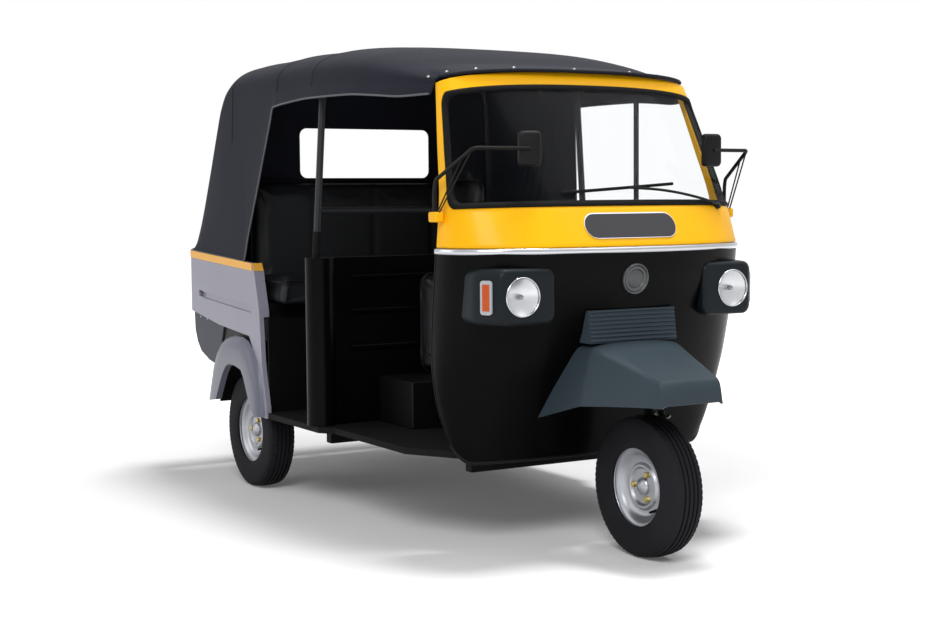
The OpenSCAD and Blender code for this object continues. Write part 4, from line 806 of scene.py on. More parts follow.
BADGE_Z, BADGE_R, SLOPE_STEP = 0.986, 0.056, 0.01
BADGE_PROFILE = [(0, 0.005), (0.030, 0.005), (0.033, 0.003), (0.036, 0.006), (0.045, 0.006), (0.047, 0.004),
                 (0.050, 0.008), (BADGE_R - 0.002, 0.008), (BADGE_R, 0.005), (BADGE_R, -0.006), (0, -0.006)]
slope = on_front(0, BADGE_Z + SLOPE_STEP) - on_front(0, BADGE_Z - SLOPE_STEP)
badge_at = frame_at(on_front(0, BADGE_Z), Vector((0, 1, 0)).cross(Vector(slope)))
tell("badge", lathe("badge", BADGE_PROFILE, [badge_at], BADGE))

# %% [markdown]
# ## Wiper
# A rubber blade lies on the glass, and a thin arm lifts over the rubber from a pivot on the band. Both are
# tubes along points of the front, a little proud of it. The arm's few points are rounded by cutting
# corners.

# %% Blade, arm and pivot
BLADE_Z, BLADE_DROP, BLADE_HALF, BLADE_R, ARM_R = 1.323, 0.031, 0.25, 0.006, 0.005
PIVOT_Y, PIVOT_Z = 0.47, 1.239
blade = [on_front(y, BLADE_Z - BLADE_DROP * (BLADE_HALF - y) / (2 * BLADE_HALF), -0.004)
         for y in np.linspace(BLADE_HALF, -BLADE_HALF, 24)]
arm = [on_front(*spot) for spot in ((PIVOT_Y, PIVOT_Z, -0.008), (0.4, 1.262, -0.02), (0.2, 1.3, -0.022),
                                    (0.03, 1.31, -0.012))]
tell("wiper", tube("wiper_blade", blade, BLADE_R, RUBBER),
     tube("wiper_arm", cut_corners(arm), ARM_R, SATIN),
     lathe("wiper_pivot", [(0, 0.016), (0.009, 0.016), (0.012, 0.012), (0.014, -0.01), (0, -0.01)],
           [frame_at(on_front(PIVOT_Y, PIVOT_Z), (1, 0.6, 0.3))], SATIN, steps=24))

# %% [markdown]
# ## Headlamps
# Each lamp sits in a moulded housing that bends round the corner of the nose. Its sections are rounded
# rectangles: small ones give the soft front edge, then the outer side swings out behind a bend. A round
# well is cut for the lamp, which is built as a real one: a silvered bowl, a bulb, a domed glass and a
# bright ring over the joint.

# %% Housings
LAMP_X, LAMP_Y, LAMP_Z, LAMP_R = AXLE_X - 0.09, 0.462, 0.936, 0.065
HOUSE_IN, HOUSE_MID, HOUSE_OUT, HOUSE_H, HOUSE_R = 0.326, 0.548, 0.602, 0.196, 0.034
HOUSE_SOFT, HOUSE_BEND, HOUSE_DEEP, BEND_SOFT = 0.016, 0.103, 0.205, 0.12
WELL_R, WELL_UP, WELL_DEEP = LAMP_R + 0.0005, 0.03, -0.024


def rounded(w, h, r, steps=8):
    """Outline of a rounded rectangle round the origin."""
    out = []
    for k, (sx, sy) in enumerate([(1, 1), (-1, 1), (-1, -1), (1, -1)]):
        for i in range(steps + 1):
            a = math.pi / 2 * (k + i / steps)
            out.append((sx * (w / 2 - r) + r * math.cos(a), sy * (h / 2 - r) + r * math.sin(a)))
    return out


def housing_ring(depth, sign):
    """Rounded section of a lamp housing at a depth behind its face."""
    shrink = HOUSE_SOFT * (1 - math.sqrt(1 - max(0.0, 1 - depth / HOUSE_SOFT) ** 2))
    left = 1 - depth / HOUSE_BEND
    outer = HOUSE_OUT - (HOUSE_OUT - HOUSE_MID) * (left + math.hypot(left, BEND_SOFT)) / 2
    outline = rounded(outer - HOUSE_IN - 2 * shrink, HOUSE_H - 2 * shrink, HOUSE_R - shrink)
    return [(LAMP_X - depth, sign * ((outer + HOUSE_IN) / 2 + p), LAMP_Z + q) for p, q in outline]


def joined(name, meshes):
    """One mesh of several."""
    work = bmesh.new()
    for mesh in meshes:
        work.from_mesh(mesh)
    mesh = bpy.data.meshes.new(name)
    work.to_mesh(mesh)
    work.free()
    return mesh


lamps = [frame_at((LAMP_X, s * LAMP_Y, LAMP_Z), (1, 0, 0)) for s in (-1, 1)]
depths = np.concatenate([HOUSE_SOFT * (1 - np.cos(np.radians(np.linspace(0, 90, 8)))),
                         np.linspace(HOUSE_SOFT, HOUSE_DEEP, 20)[1:]])
pair = [sweep("lamp_housing", [housing_ring(d, s) for d in depths]) for s in (-1, 1)]
housings = put("lamp_housings", joined("lamp_housings", pair), BEZEL, angle=50)
well = [(0, WELL_UP), (WELL_R, WELL_UP), (WELL_R, WELL_DEEP), (0, WELL_DEEP)]
for lamp_at in lamps:
    carve(housings, helper("well", raw("well", *turned(well, lamp_at))), 50)
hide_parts("lamp_bezels")
tell("housings", housings)

# %% Glass, bowl, bulb and ring
DOME_H, BOWL_DEEP, BOWL_H = 0.012, -0.022, 0.018
dome = [(LAMP_R * math.sin(a), DOME_H * math.cos(a)) for a in np.linspace(0, math.pi / 2, 14)]
bowl = [(LAMP_R * s, BOWL_DEEP + BOWL_H * s * s) for s in np.linspace(0, 0.97, 14)]
bulb = [(0, -0.004), (0.007, -0.006), (0.009, -0.012), (0.009, -0.021), (0, -0.021)]
ring = [(LAMP_R + 0.002 + 0.003 * math.cos(a), 0.001 + 0.004 * math.sin(a))
        for a in np.linspace(0, 2 * math.pi, 13)]
lenses = lathe("lamp_glass", dome + [(LAMP_R, -0.003), (0, -0.003)], lamps, LENS)
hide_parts("lamp_lenses")
tell("lamps", lenses,
     lathe("lamp_bowls", bowl + [(LAMP_R, -0.004), (LAMP_R, -0.0235), (0, -0.0235)], lamps, REFLECTOR),
     lathe("lamp_bulbs", bulb, lamps, DARK_CHROME, steps=24),
     lathe("lamp_rings", ring, lamps, CHROME))

# %% [markdown]
# ## Copies on points
# Lens ribs, studs, nuts, rivets, mat ribs and louvres are each one small shape many times over. Modelling
# every copy would be slow, so one Geometry Nodes tree sets a part on points. Each point carries its turn as
# an attribute. The tree's inputs name the part, the size of a copy and its finish. The result is realized
# and baked to a plain mesh, as every piece here is.

# %% The tree that sets copies
COPIES, given, COPY_IDS = geometry_tree("set_copies", [
    ("Part", "NodeSocketObject"), ("Copy size", "NodeSocketVector"), ("Finish", "NodeSocketMaterial")])
part = add_node(COPIES, "GeometryNodeObjectInfo", links={"Object": given["Part"]})
turn = add_node(COPIES, "GeometryNodeInputNamedAttribute", {"data_type": "FLOAT_VECTOR", "Name": "turn"})
spin = add_node(COPIES, "FunctionNodeEulerToRotation", links={0: turn.outputs["Attribute"]})
onto = add_node(COPIES, "GeometryNodeInstanceOnPoints", links={
    "Points": given["Geometry"], "Instance": part.outputs["Geometry"], "Rotation": spin.outputs[0],
    "Scale": given["Copy size"]})
real = add_node(COPIES, "GeometryNodeRealizeInstances", links={0: onto.outputs[0]})
dressed = add_node(COPIES, "GeometryNodeSetMaterial", links={
    "Geometry": real.outputs[0], "Material": given["Finish"]})
add_node(COPIES, "NodeGroupOutput", links={0: dressed.outputs[0]})


def repeat(name, mesh, places, mat, body="body", size=(1.0, 1.0, 1.0)):
    """Sets a mesh on places of (position, Euler turn) and bakes the copies into one piece."""
    points = bpy.data.meshes.new(name)
    points.from_pydata([tuple(spot) for spot, _ in places], [], [])
    points.attributes.new("turn", "FLOAT_VECTOR", "POINT").data.foreach_set(
        "vector", np.ravel([way for _, way in places]))
    seed, row = helper(name + "_part", mesh), helper(name, points)
    modifier = row.modifiers.new("set_copies", "NODES")
    modifier.node_group = COPIES
    for label, value in (("Part", seed), ("Copy size", size), ("Finish", mat)):
        modifier[COPY_IDS[label]] = value
    baked = bake(row).data
    for spare in (seed, row):
        bpy.data.objects.remove(spare)
    return put(name, baked, mat, body)


print("tree", COPIES.name, "with inputs", ", ".join(COPY_IDS))

# %% [markdown]
# ## Indicators
# An upright lens on each housing has fine amber ribs that spread its light. The lens itself is a solid. Its
# ribs could be cut into it, but they are copies of a slim bar, set side by side along the slanted face,
# because that keeps their edges round.

# %% Lens ribs
BLINK_X, BLINK_Y, BLINK_T, RIB_SPREAD = AXLE_X - 0.1415, 0.575, 0.008, 0.012
tilt = math.atan2(HOUSE_OUT - HOUSE_MID, HOUSE_BEND)
rib = brick_mesh("blink_rib", (-0.0022, 0.0, -0.046), (0.0022, 0.0025, 0.046), 0.0012, 2)
ribs = []
for s in (-1, 1):
    out_way = Vector((math.sin(tilt), s * math.cos(tilt), 0))
    along_way = Vector((math.cos(tilt), -s * math.sin(tilt), 0))
    base = Vector((BLINK_X, s * BLINK_Y, LAMP_Z)) + out_way * BLINK_T
    face_turn = (0, 0, -tilt if s > 0 else math.pi + tilt)
    ribs += [(base + along_way * d, face_turn) for d in np.linspace(-RIB_SPREAD, RIB_SPREAD, 6)]
tell("indicators", repeat("indicator_ribs", rib, ribs, AMBER))

# %% [markdown]
# ## Mirrors
# A bent tube rises from a clamp on each pillar, runs forward and turns in to the mirror's head, and two
# thin stays brace it. The heads are shallow moulded cases with a glass behind. The right head is turned to
# face the driver. Tubes with cut corners bend as a pipe bender would leave them, in even curves between
# straight runs.


# %% Heads, arms and stays
def plate_mesh(name, outline, depth, matrix, crown=0.0):
    """Outline pushed out along the matrix's Z, its front edge rounded by crown."""
    outline = np.asarray(outline)
    middle = outline.mean(0)
    rings = [(1.0, 0.0), (1.0, depth - crown)]
    size = np.abs(outline - middle).max()
    if crown:
        for i in range(1, 5):
            a = math.pi / 2 * i / 4
            rings.append((1.0 - crown / size * (1 - math.cos(a)), depth - crown + crown * math.sin(a)))
    pts = [[matrix @ Vector((*(middle + (p - middle) * s), z)) for p in outline] for s, z in rings]
    return sweep(name, [[tuple(v) for v in ring] for ring in pts])


HEAD_W, HEAD_H, HEAD_T, HEAD_R, HEAD_CROWN = 0.08, 0.122, 0.024, 0.016, 0.012
GLASS_IN, GLASS_R, GLASS_PROUD = 0.012, 0.012, 0.0012
PIPE_R, STAY_R, BEND_SHARE = 0.007, 0.0028, 0.15
ROOT_X, ROOT_Y, ROOT_Z, KNEE_Z = AXLE_X - 0.366, 0.651, 1.205, 1.336
MIRROR_X, MIRROR_Y, MIRROR_Z, RIGHT_TURN = AXLE_X - 0.177, 0.603, 1.447, math.radians(-24)
CLAMP_Y = (0.634, 0.667)
STAYS = ((0.018, 0.72), (0.032, 0.97))         # foot ahead of the root, share of the way from knee to elbow
for side, sign, y, turn in (("left", 1, 0.433, 0.0), ("right", -1, -0.376, RIGHT_TURN)):
    back_way = Vector((-math.cos(turn), -math.sin(turn), 0))
    root, knee = (Vector((ROOT_X, sign * ROOT_Y, z)) for z in (ROOT_Z, KNEE_Z))
    elbow, tip = (Vector((MIRROR_X, p, MIRROR_Z)) for p in (sign * MIRROR_Y, y))
    back_face = tip + back_way * (HEAD_T / 2)
    case = put("mirror_case_" + side, plate_mesh("mirror_case", rounded(HEAD_W, HEAD_H, HEAD_R), HEAD_T,
                                                 frame_at(back_face, -back_way), HEAD_CROWN),
               SATIN, angle=60)
    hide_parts("mirror_" + side)
    glass = put("mirror_glass_" + side, plate_mesh(
        "mirror_glass", rounded(HEAD_W - GLASS_IN, HEAD_H - GLASS_IN, GLASS_R), GLASS_PROUD,
        frame_at(back_face, back_way)), MIRROR)
    run = elbow - knee
    bent = [root, knee, knee + run * BEND_SHARE, knee + run * (1 - BEND_SHARE), elbow,
            elbow + (tip - elbow) * BEND_SHARE, tip - back_way * (HEAD_T / 2 - 0.002)]
    pipe = tube("mirror_arm_" + side, cut_corners([tuple(p) for p in bent]), PIPE_R, SATIN,
                sides=14)
    for k, (foot, share) in enumerate(STAYS):
        ends = [(ROOT_X + foot, sign * ROOT_Y, ROOT_Z + 0.02), tuple(knee + run * share)]
        tube("mirror_stay_%s_%d" % (side, k), ends, STAY_R, SATIN)
    near, far = sorted(sign * v for v in CLAMP_Y)
    clamp = brick_mesh("mirror_clamp_" + side, (ROOT_X - 0.019, near, ROOT_Z - 0.012),
                       (ROOT_X + 0.038, far, ROOT_Z + 0.024), 0.006)
    put("mirror_clamp_" + side, clamp, YELLOW, angle=60)
    tell(side + " mirror", case, glass, pipe)

# %% [markdown]
# ## Canopy
# One coated cloth is drawn from the header over three hoops to the tail and hangs down at the rear
# quarters. Cloth simulation could drape it, but a canopy is sewn and laced tight, so its shape is a rule
# too: a wall, a shoulder and an arch at each place along it, with the low edge sweeping down behind the
# doorway. Between hoops it sags a few millimetres, and each hoop shows as a seam.

# %% Sizes of the canopy
WHEELBASE, REAR_OVERHANG, TAIL_GAP, TAIL_X = 2.05, 0.59, 0.003, -1.449
CANOPY_FRONT = EDGE_BACK + FRAME_SHARES[3][2] * NOSE_DEPTH
CANOPY_L = WHEELBASE + REAR_OVERHANG - TAIL_GAP - CANOPY_FRONT
CANOPY_LOW, CANOPY_H, CANOPY_HALF = 1.003, 0.902, 0.688
SHOULDER, ARCH_POWER, CLOTH_T, SAG, TAIL_SHARE = 0.968, 2.8, 0.003, 0.007, 0.78
# Columns, all shares: length, half width, low edge, shoulder, crown
CANOPY_SHARES = np.array([
    (0, 0.842, 0.718, 0.762, 0.815), (0.057, 0.905, 0.715, 0.773, 0.86), (0.137, 0.952, 0.729, 0.79, 0.92),
    (0.227, 0.981, 0.743, 0.806, 0.965), (0.38, 1, 0.747, 0.817, 0.992), (0.463, 1, 0.74, 0.817, 1),
    (0.5385, 1, 0.7265, 0.817, 1), (0.557, 1, 0.646, 0.817, 1), (0.628, 1, 0.33, 0.817, 1),
    (0.6755, 1, 0.122, 0.815, 1), (0.703, 1, 0.0035, 0.815, 1), (0.77, 1, 0.0116, 0.81, 0.992),
    (0.8125, 1, 0.0166, 0.773, 0.959), (0.841, 1, 0.0205, 0.7, 0.9), (0.86, 1, 0.0227, 0.615, 0.817),
    (0.907, 1, 0.0283, 0.4, 0.563), (0.9636, 1, 0.0351, 0.16, 0.257), (1, 1, 0.0396, 0.05, 0.065)])
LIP_SHARE, HOOP_SHARES = 0.057, (0.38, 0.5385, 0.77)
BAYS = (LIP_SHARE, *HOOP_SHARES, 1.0)
LIP_STRETCH = NOSE_HALF / CANOPY_HALF * 1.12      # the lip follows the header, stretched to its own width


print("canopy", round(CANOPY_L, 3), "m long")


# %% Sections of the canopy
def canopy_section(place, inset=0.0, side=14, arch=56):
    """Points of the cloth across the vehicle at a share of its length, from the right hem to the left."""
    half, low, shoulder, crown = (float(spline(place, CANOPY_SHARES[:, 0], CANOPY_SHARES[:, k]))
                                  for k in (1, 2, 3, 4))
    w = half * CANOPY_HALF - inset
    low, top = CANOPY_LOW + low * CANOPY_H, CANOPY_LOW + crown * CANOPY_H - inset
    bend = CANOPY_LOW + shoulder * CANOPY_H - inset / 2
    k = np.arange(side) / side
    wall = np.stack([w + (w * SHOULDER - w) * k, low + (bend - low) * k], 1)
    a = np.linspace(np.pi, 0, arch + 1)
    across = np.sign(np.cos(a)) * np.abs(np.cos(a)) ** (2 / ARCH_POWER)
    bay = max(i for i in range(len(BAYS) - 1) if place >= BAYS[i] or i == 0)
    phase = np.clip((place - BAYS[bay]) / (BAYS[bay + 1] - BAYS[bay]), 0, 1)
    drop = SAG * math.sin(math.pi * phase) ** 2 * np.sin(a) ** 2
    arc = np.stack([w * SHOULDER * across, bend + (top - bend) * np.sin(a) ** (2 / ARCH_POWER) - drop], 1)
    flat = np.concatenate([wall * [-1, 1], arc, wall[::-1]])
    x = AXLE_X - (CANOPY_FRONT + place * CANOPY_L) + (inset if place > TAIL_SHARE else 0.0)
    header = np.array([on_front(y * LIP_STRETCH, HEADER_Z)[0] for y in flat[:, 0]])
    x = x + (header - (AXLE_X - CANOPY_FRONT)) * max(0.0, 1 - place / LIP_SHARE)
    return np.concatenate([x[:, None], flat], 1)


def length_of(path):
    return float(np.linalg.norm(np.diff(path, axis=0), axis=1).sum())


def sheet_area(grid):
    g = np.asarray(grid)
    a, b = g[1:, :-1] - g[:-1, :-1], g[:-1, 1:] - g[:-1, :-1]
    return float(np.linalg.norm(np.cross(a, b), axis=2).sum())


places = np.unique(np.concatenate([np.linspace(0, 1, 90), np.linspace(0.53, 0.72, 60), CANOPY_SHARES[:, 0]]))
cloth = np.array([canopy_section(p) for p in places])
print("canopy of", len(places), "sections,", round(sheet_area(cloth), 3), "square metres")

# %% Cloth and rear window
WINDOW_W, WINDOW_H, WINDOW_Z, WINDOW_R = 1.1, 0.262, 1.493, 0.06
lining = [canopy_section(p, CLOTH_T) for p in places]
canopy = put("canopy_cloth", slab("canopy_cloth", cloth, lining), CANOPY, angle=60)
window_at = frame_at((TAIL_X - 0.02, 0, WINDOW_Z), (1, 0, 0))
window = plate_mesh("window", rounded(WINDOW_W, WINDOW_H, WINDOW_R), 0.6, window_at)
carve(canopy, helper("window", window), 60)
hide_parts("canopy_roof", "canopy_rear")
tell("canopy", canopy)


# %% Hems, seams and studs
def dome_mesh(name, steps=16, rings=5):
    """Dome of radius and height 1 on the XY plane, which a copy's size turns into a stud or a rivet."""
    angles = [math.pi / 2 * i / rings for i in range(1, rings)]
    profile = [(1.0, 0.0)] + [(math.cos(a), math.sin(a)) for a in angles] + [(0.0, 1.0)]
    return raw(name, *turned(profile, Matrix.Identity(4), steps))


STUD_R, STUD_H, STUD_SHARE, STUD_LEAN, SEAM_ENDS = 0.007, 0.006, 0.016, math.radians(35), 10
FOOT_SHARE = 0.72                                   # where the cloth is longest from hem to hem
trims = [tube(name, path, radius, mat) for name, path, radius, mat in (
    ("canopy_hem_right", cloth[:, 0], 0.004, PIPING), ("canopy_hem_left", cloth[:, -1], 0.004, PIPING),
    ("canopy_lip", cloth[0], 0.006, CANOPY), ("canopy_tail_hem", cloth[-1], 0.005, PIPING))]
for k, share in enumerate(HOOP_SHARES):
    seam = canopy_section(share, 0.0008)[SEAM_ENDS:-SEAM_ENDS]
    trims.append(tube("canopy_seam_%d" % k, seam, 0.0025, CANOPY, sides=8))
stud_row = canopy_section(STUD_SHARE, -0.001)
middle = len(stud_row) // 2
studs = [(stud_row[i], (0, STUD_LEAN, 0)) for i in range(middle - 24, middle + 25, 6)]
trims.append(repeat("canopy_studs", dome_mesh("stud"), studs, DARK_CHROME,
                    size=(STUD_R, STUD_R, STUD_H)))
length_of(canopy_section(FOOT_SHARE))
tell("canopy trim", *trims)

# %% [markdown]
# ## Curtains
# A curtain closes the left side behind the driver and hangs in shallow folds. Another is drawn flat on the
# last hoop behind the seat and has a window. A cloth simulation would gather the folds at random, so the
# left one is a grid with a sine along it, deepest at three quarters of its height and gone near the foot,
# where it is tied.

# %% Left curtain
CURTAIN_LOW, CURTAIN_H, CURTAIN_Y, CURTAIN_LEAN = 0.924, 0.762, 0.6672, 0.0218
CURTAIN_FRONT = 1.39
CURTAIN_FOOT, CURTAIN_HEAD = (CANOPY_FRONT + share * CANOPY_L for share in (FOOT_SHARE, 0.545))
FOLD_DEPTH, FOLDS, FOLD_FADE = 0.0022, 7, 1.25


def curtain_point(u, v, shift):
    """Point at shares of the way back and up; shift gives the other face."""
    far = CURTAIN_FOOT + (CURTAIN_HEAD - CURTAIN_FOOT) * v
    fold = FOLD_DEPTH * math.sin(2 * math.pi * FOLDS * u) * math.sin(math.pi * min(1.0, FOLD_FADE - v))
    return (AXLE_X - (CURTAIN_FRONT + (far - CURTAIN_FRONT) * u),
            CURTAIN_Y - CURTAIN_LEAN * CURTAIN_H * v + fold - shift, CURTAIN_LOW + CURTAIN_H * v)


def curtain_grid(shift=0.0):
    return [[curtain_point(u, v, shift) for u in np.linspace(0, 1, 113)] for v in np.linspace(0, 1, 25)]


curtain = put("left_curtain", slab("left_curtain", curtain_grid(), curtain_grid(CLOTH_T)), CANOPY,
              angle=60)
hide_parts("side_curtain")
tell("left curtain", curtain)

# %% Rear curtain
REAR_CURTAIN_X, REAR_LOW, REAR_INSET = AXLE_X - 2.165, 0.8263, 0.02
SIGHT_W, SIGHT_H, SIGHT_Z, SIGHT_R = 0.672, 0.226, 1.484, 0.034
arch_edge = canopy_section(HOOP_SHARES[-1], REAR_INSET)[:, 1:]
outline = np.concatenate([[[arch_edge[0, 0], REAR_LOW]], arch_edge, [[arch_edge[-1, 0], REAR_LOW]]])
hung_at = frame_at((REAR_CURTAIN_X, 0, 0), (-1, 0, 0)) @ Matrix.Scale(-1, 4, (1, 0, 0))
rear_mesh = plate_mesh("rear_curtain_cloth", outline[::-1], CLOTH_T, hung_at)
rear_cloth = put("rear_curtain_cloth", rear_mesh, CANOPY, angle=60)
sight_at = frame_at((REAR_CURTAIN_X - 0.05, 0, SIGHT_Z), (1, 0, 0))
sight = plate_mesh("sight", rounded(SIGHT_W, SIGHT_H, SIGHT_R), 0.1, sight_at)
carve(rear_cloth, helper("sight", sight), 60)
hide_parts("rear_curtain")
tell("rear curtain", rear_cloth)

# %% [markdown]
# ## Seats
# The seats are foam in vinyl covers: full in the middle, pulled in at the corners, with a piped seam round
# the top and, on the rear back, sewn channels. A rounded box looks hard. So each pad starts a little
# smaller than its solid, is remeshed to an even grid and blown up by Blender's cloth pressure, with the
# side that it rests on pinned flat. No point may move further than a cap, which keeps it clear of its
# neighbours.


# %% Filling a cushion
PRESSURE, CLOTH_QUALITY, CLOTH_FRAMES, PIN_H = 4.0, 4, 20, 0.012
PAD_SHRINK, PAD_MOST = 0.012, 0.014


def inflate(obj, held, most):
    """Fills a closed mesh by cloth pressure and keeps every point within a distance of its start."""
    start = np.array([v.co for v in obj.data.vertices])
    pins = obj.vertex_groups.new(name="pins")
    pins.add([int(i) for i in np.nonzero(held)[0]], 1.0, "REPLACE")
    filling = obj.modifiers.new("fill", "CLOTH")
    filling.settings.quality = CLOTH_QUALITY
    filling.settings.use_pressure, filling.settings.uniform_pressure_force = True, PRESSURE
    filling.settings.effector_weights.gravity = 0.0
    filling.settings.vertex_group_mass = "pins"
    filling.point_cache.frame_start, filling.point_cache.frame_end = 1, CLOTH_FRAMES
    for step in range(1, CLOTH_FRAMES + 1):
        bpy.context.scene.frame_set(step)
    bake(obj)
    bpy.context.scene.frame_set(1)
    moved = np.array([v.co for v in obj.data.vertices]) - start
    far = np.linalg.norm(moved, axis=1)
    moved *= np.minimum(1.0, most / np.maximum(far, 1e-9))[:, None]
    obj.data.vertices.foreach_set("co", (start + moved).ravel())
    obj.data.update()


print("pressure", PRESSURE, "for", CLOTH_FRAMES, "frames")

# %% Channels, pad and piping
CHANNEL_DEPTH, CHANNEL_W = 0.011, 0.014
SEAM_DOWN, SEAM_IN, SEAM_CORNER, SEAM_R = 0.022, 0.012, 0.034, 0.0045


def sew_channels(points, low, high, axis, count):
    """Presses sewn lines into the face that points along an axis."""
    wide = high[1] - low[1]
    share = (points[:, 1] - low[1]) / wide
    off_line = np.abs(((share * count + 0.5) % 1.0) - 0.5) * wide / count
    face = np.clip((points[:, axis] - low[axis]) / (high[axis] - low[axis]) * 2 - 1, 0, 1)
    points[:, axis] -= CHANNEL_DEPTH * np.exp(-(off_line / CHANNEL_W) ** 2) * face


def cushion(seat, rest_axis, voxel, channels=0):
    """Padded piece for a seat solid; rest_axis names the side that lies on its support."""
    low, high = (np.array(c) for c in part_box(seat))
    axis = "xyz".index(rest_axis)
    inner_low, inner_high = low + PAD_SHRINK, high - PAD_SHRINK
    inner_low[axis] = low[axis]
    obj = helper(seat + "_pad", brick_mesh(seat + "_pad", inner_low, inner_high, bevel=0.03, segments=4))
    remesh = obj.modifiers.new("grid", "REMESH")
    remesh.mode, remesh.voxel_size = "VOXEL", voxel
    bake(obj)
    points = np.array([v.co for v in obj.data.vertices])
    if channels:
        sew_channels(points, low, high, axis, channels)
        obj.data.vertices.foreach_set("co", points.ravel())
        obj.data.update()
    start = np.array([v.co for v in obj.data.vertices])
    inflate(obj, start[:, axis] < low[axis] + PIN_H, PAD_MOST)
    mesh = obj.data
    bpy.data.objects.remove(obj)
    piece = put(seat + "_pad", mesh, VINYL, angle=80)
    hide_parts(seat)
    flat = [k for k in range(3) if k != axis]
    loop = np.array(rounded(*(high - low)[flat] - SEAM_IN, SEAM_CORNER))
    seam = np.zeros((len(loop), 3))
    seam[:, flat] = ((low + high) / 2)[flat] + loop
    seam[:, axis] = high[axis] - SEAM_DOWN
    tube(seat + "_piping", seam, SEAM_R, SATIN, sides=8, closed=True)
    return piece


print("pads are filled by cloth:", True)

# %% Four pads
tell("seats", cushion("driver_cushion", "z", 0.008), cushion("driver_back", "x", 0.008),
     cushion("rear_cushion", "z", 0.01), cushion("rear_back", "x", 0.01, channels=4))

# %% [markdown]
# ## Wheels
# Each wheel is a pressed rim with a ribbed tyre, three nuts and a valve. The tyre's section is drawn once:
# a crowned tread with four grooves, an oval side wall and a foot on the rim. Turning it with the Screw
# modifier would give smooth shoulders, so the rings are made here, and every fourth one has its shoulders
# pressed in as notches.

# %% Sizes of a tyre
AXLE_Z, TRACK_HALF, REAR_X = 0.2525, 0.6, AXLE_X - WHEELBASE
TYRE_R, TYRE_HALF, BEAD_R, TREAD_R = 0.2525, 0.059, 0.1323, 0.236
GROOVES, GROOVE_HALF, GROOVE_DEPTH, GROOVE_EDGE = (-0.46, -0.16, 0.16, 0.46), 0.0035, 0.007, 0.0004
SEAT_HALF, FLANGE_R, FLANGE_HALF = 0.0305, 0.1458, 0.046
WALL_MID, WALL_HALF, WALL_POWER = (TYRE_R + BEAD_R) / 2, (TYRE_R - BEAD_R) / 2 * 1.22, 0.6
STEPS, NOTCH_EVERY, NOTCH_SIDE = 288, 4, 0.4
SHOULDER_FROM, SHOULDER_TO, SHOULDER_R = 0.041, 0.0555, 0.236


print("tyre", 2 * TYRE_R, "m across and", 2 * TYRE_HALF, "m wide")


# %% Section of a tyre
def tread_height(w):
    """Radius of the tread at a distance from the middle, never outside the side wall's oval."""
    share = np.minimum(np.abs(w) / TYRE_HALF, 1)
    oval = WALL_MID + WALL_HALF * (1 - share ** (2 / WALL_POWER)) ** (WALL_POWER / 2)
    return np.minimum(TYRE_R - TREAD_R + np.sqrt(TREAD_R ** 2 - w ** 2), oval)


def tyre_profile():
    """Closed outline as radius and width, from one bead over the tread to the other."""
    marks = [g * TYRE_HALF + s * (GROOVE_HALF + e)
             for g in GROOVES for s in (-1, 1) for e in (0, GROOVE_EDGE)]
    tread = np.unique(np.concatenate([np.linspace(-0.05, 0.05, 33), marks]))
    inside = np.min([np.abs(tread - g * TYRE_HALF) for g in GROOVES], 0) <= GROOVE_HALF + 1e-6
    crown = np.stack([tread_height(tread) - GROOVE_DEPTH * inside, tread], 1)
    t = np.radians(np.linspace(54, 127, 16))
    wall = np.stack([WALL_MID + WALL_HALF * np.sign(np.cos(t)) * np.abs(np.cos(t)) ** WALL_POWER,
                     TYRE_HALF * np.sin(t) ** WALL_POWER], 1)
    foot = np.array([(FLANGE_R + 0.001, FLANGE_HALF), (FLANGE_R, SEAT_HALF), (BEAD_R, SEAT_HALF)])
    side = np.concatenate([wall, foot])
    return np.concatenate([side[::-1] * [1, -1], crown, side])


def tyre_mesh(name, centre, notch):
    """The section turned about an axle, with its shoulders pressed in at every few steps."""
    profile = tyre_profile()
    wide = np.abs(profile[:, 1])
    shoulder = (wide > SHOULDER_FROM) & (wide < SHOULDER_TO) & (profile[:, 0] > SHOULDER_R)
    pressed = profile.copy()
    pressed[shoulder] -= np.stack([np.full(shoulder.sum(), notch),
                                   np.sign(profile[shoulder, 1]) * NOTCH_SIDE * notch], 1)
    rings = []
    for i in range(STEPS):
        a = 2 * math.pi * i / STEPS
        cut = profile if i % NOTCH_EVERY else pressed
        rings.append(np.stack([centre[0] + cut[:, 0] * math.cos(a), centre[1] + cut[:, 1],
                               centre[2] + cut[:, 0] * math.sin(a)], 1))
    return sweep(name, rings, closed=True)


print("tyre section of", len(tyre_profile()), "points")

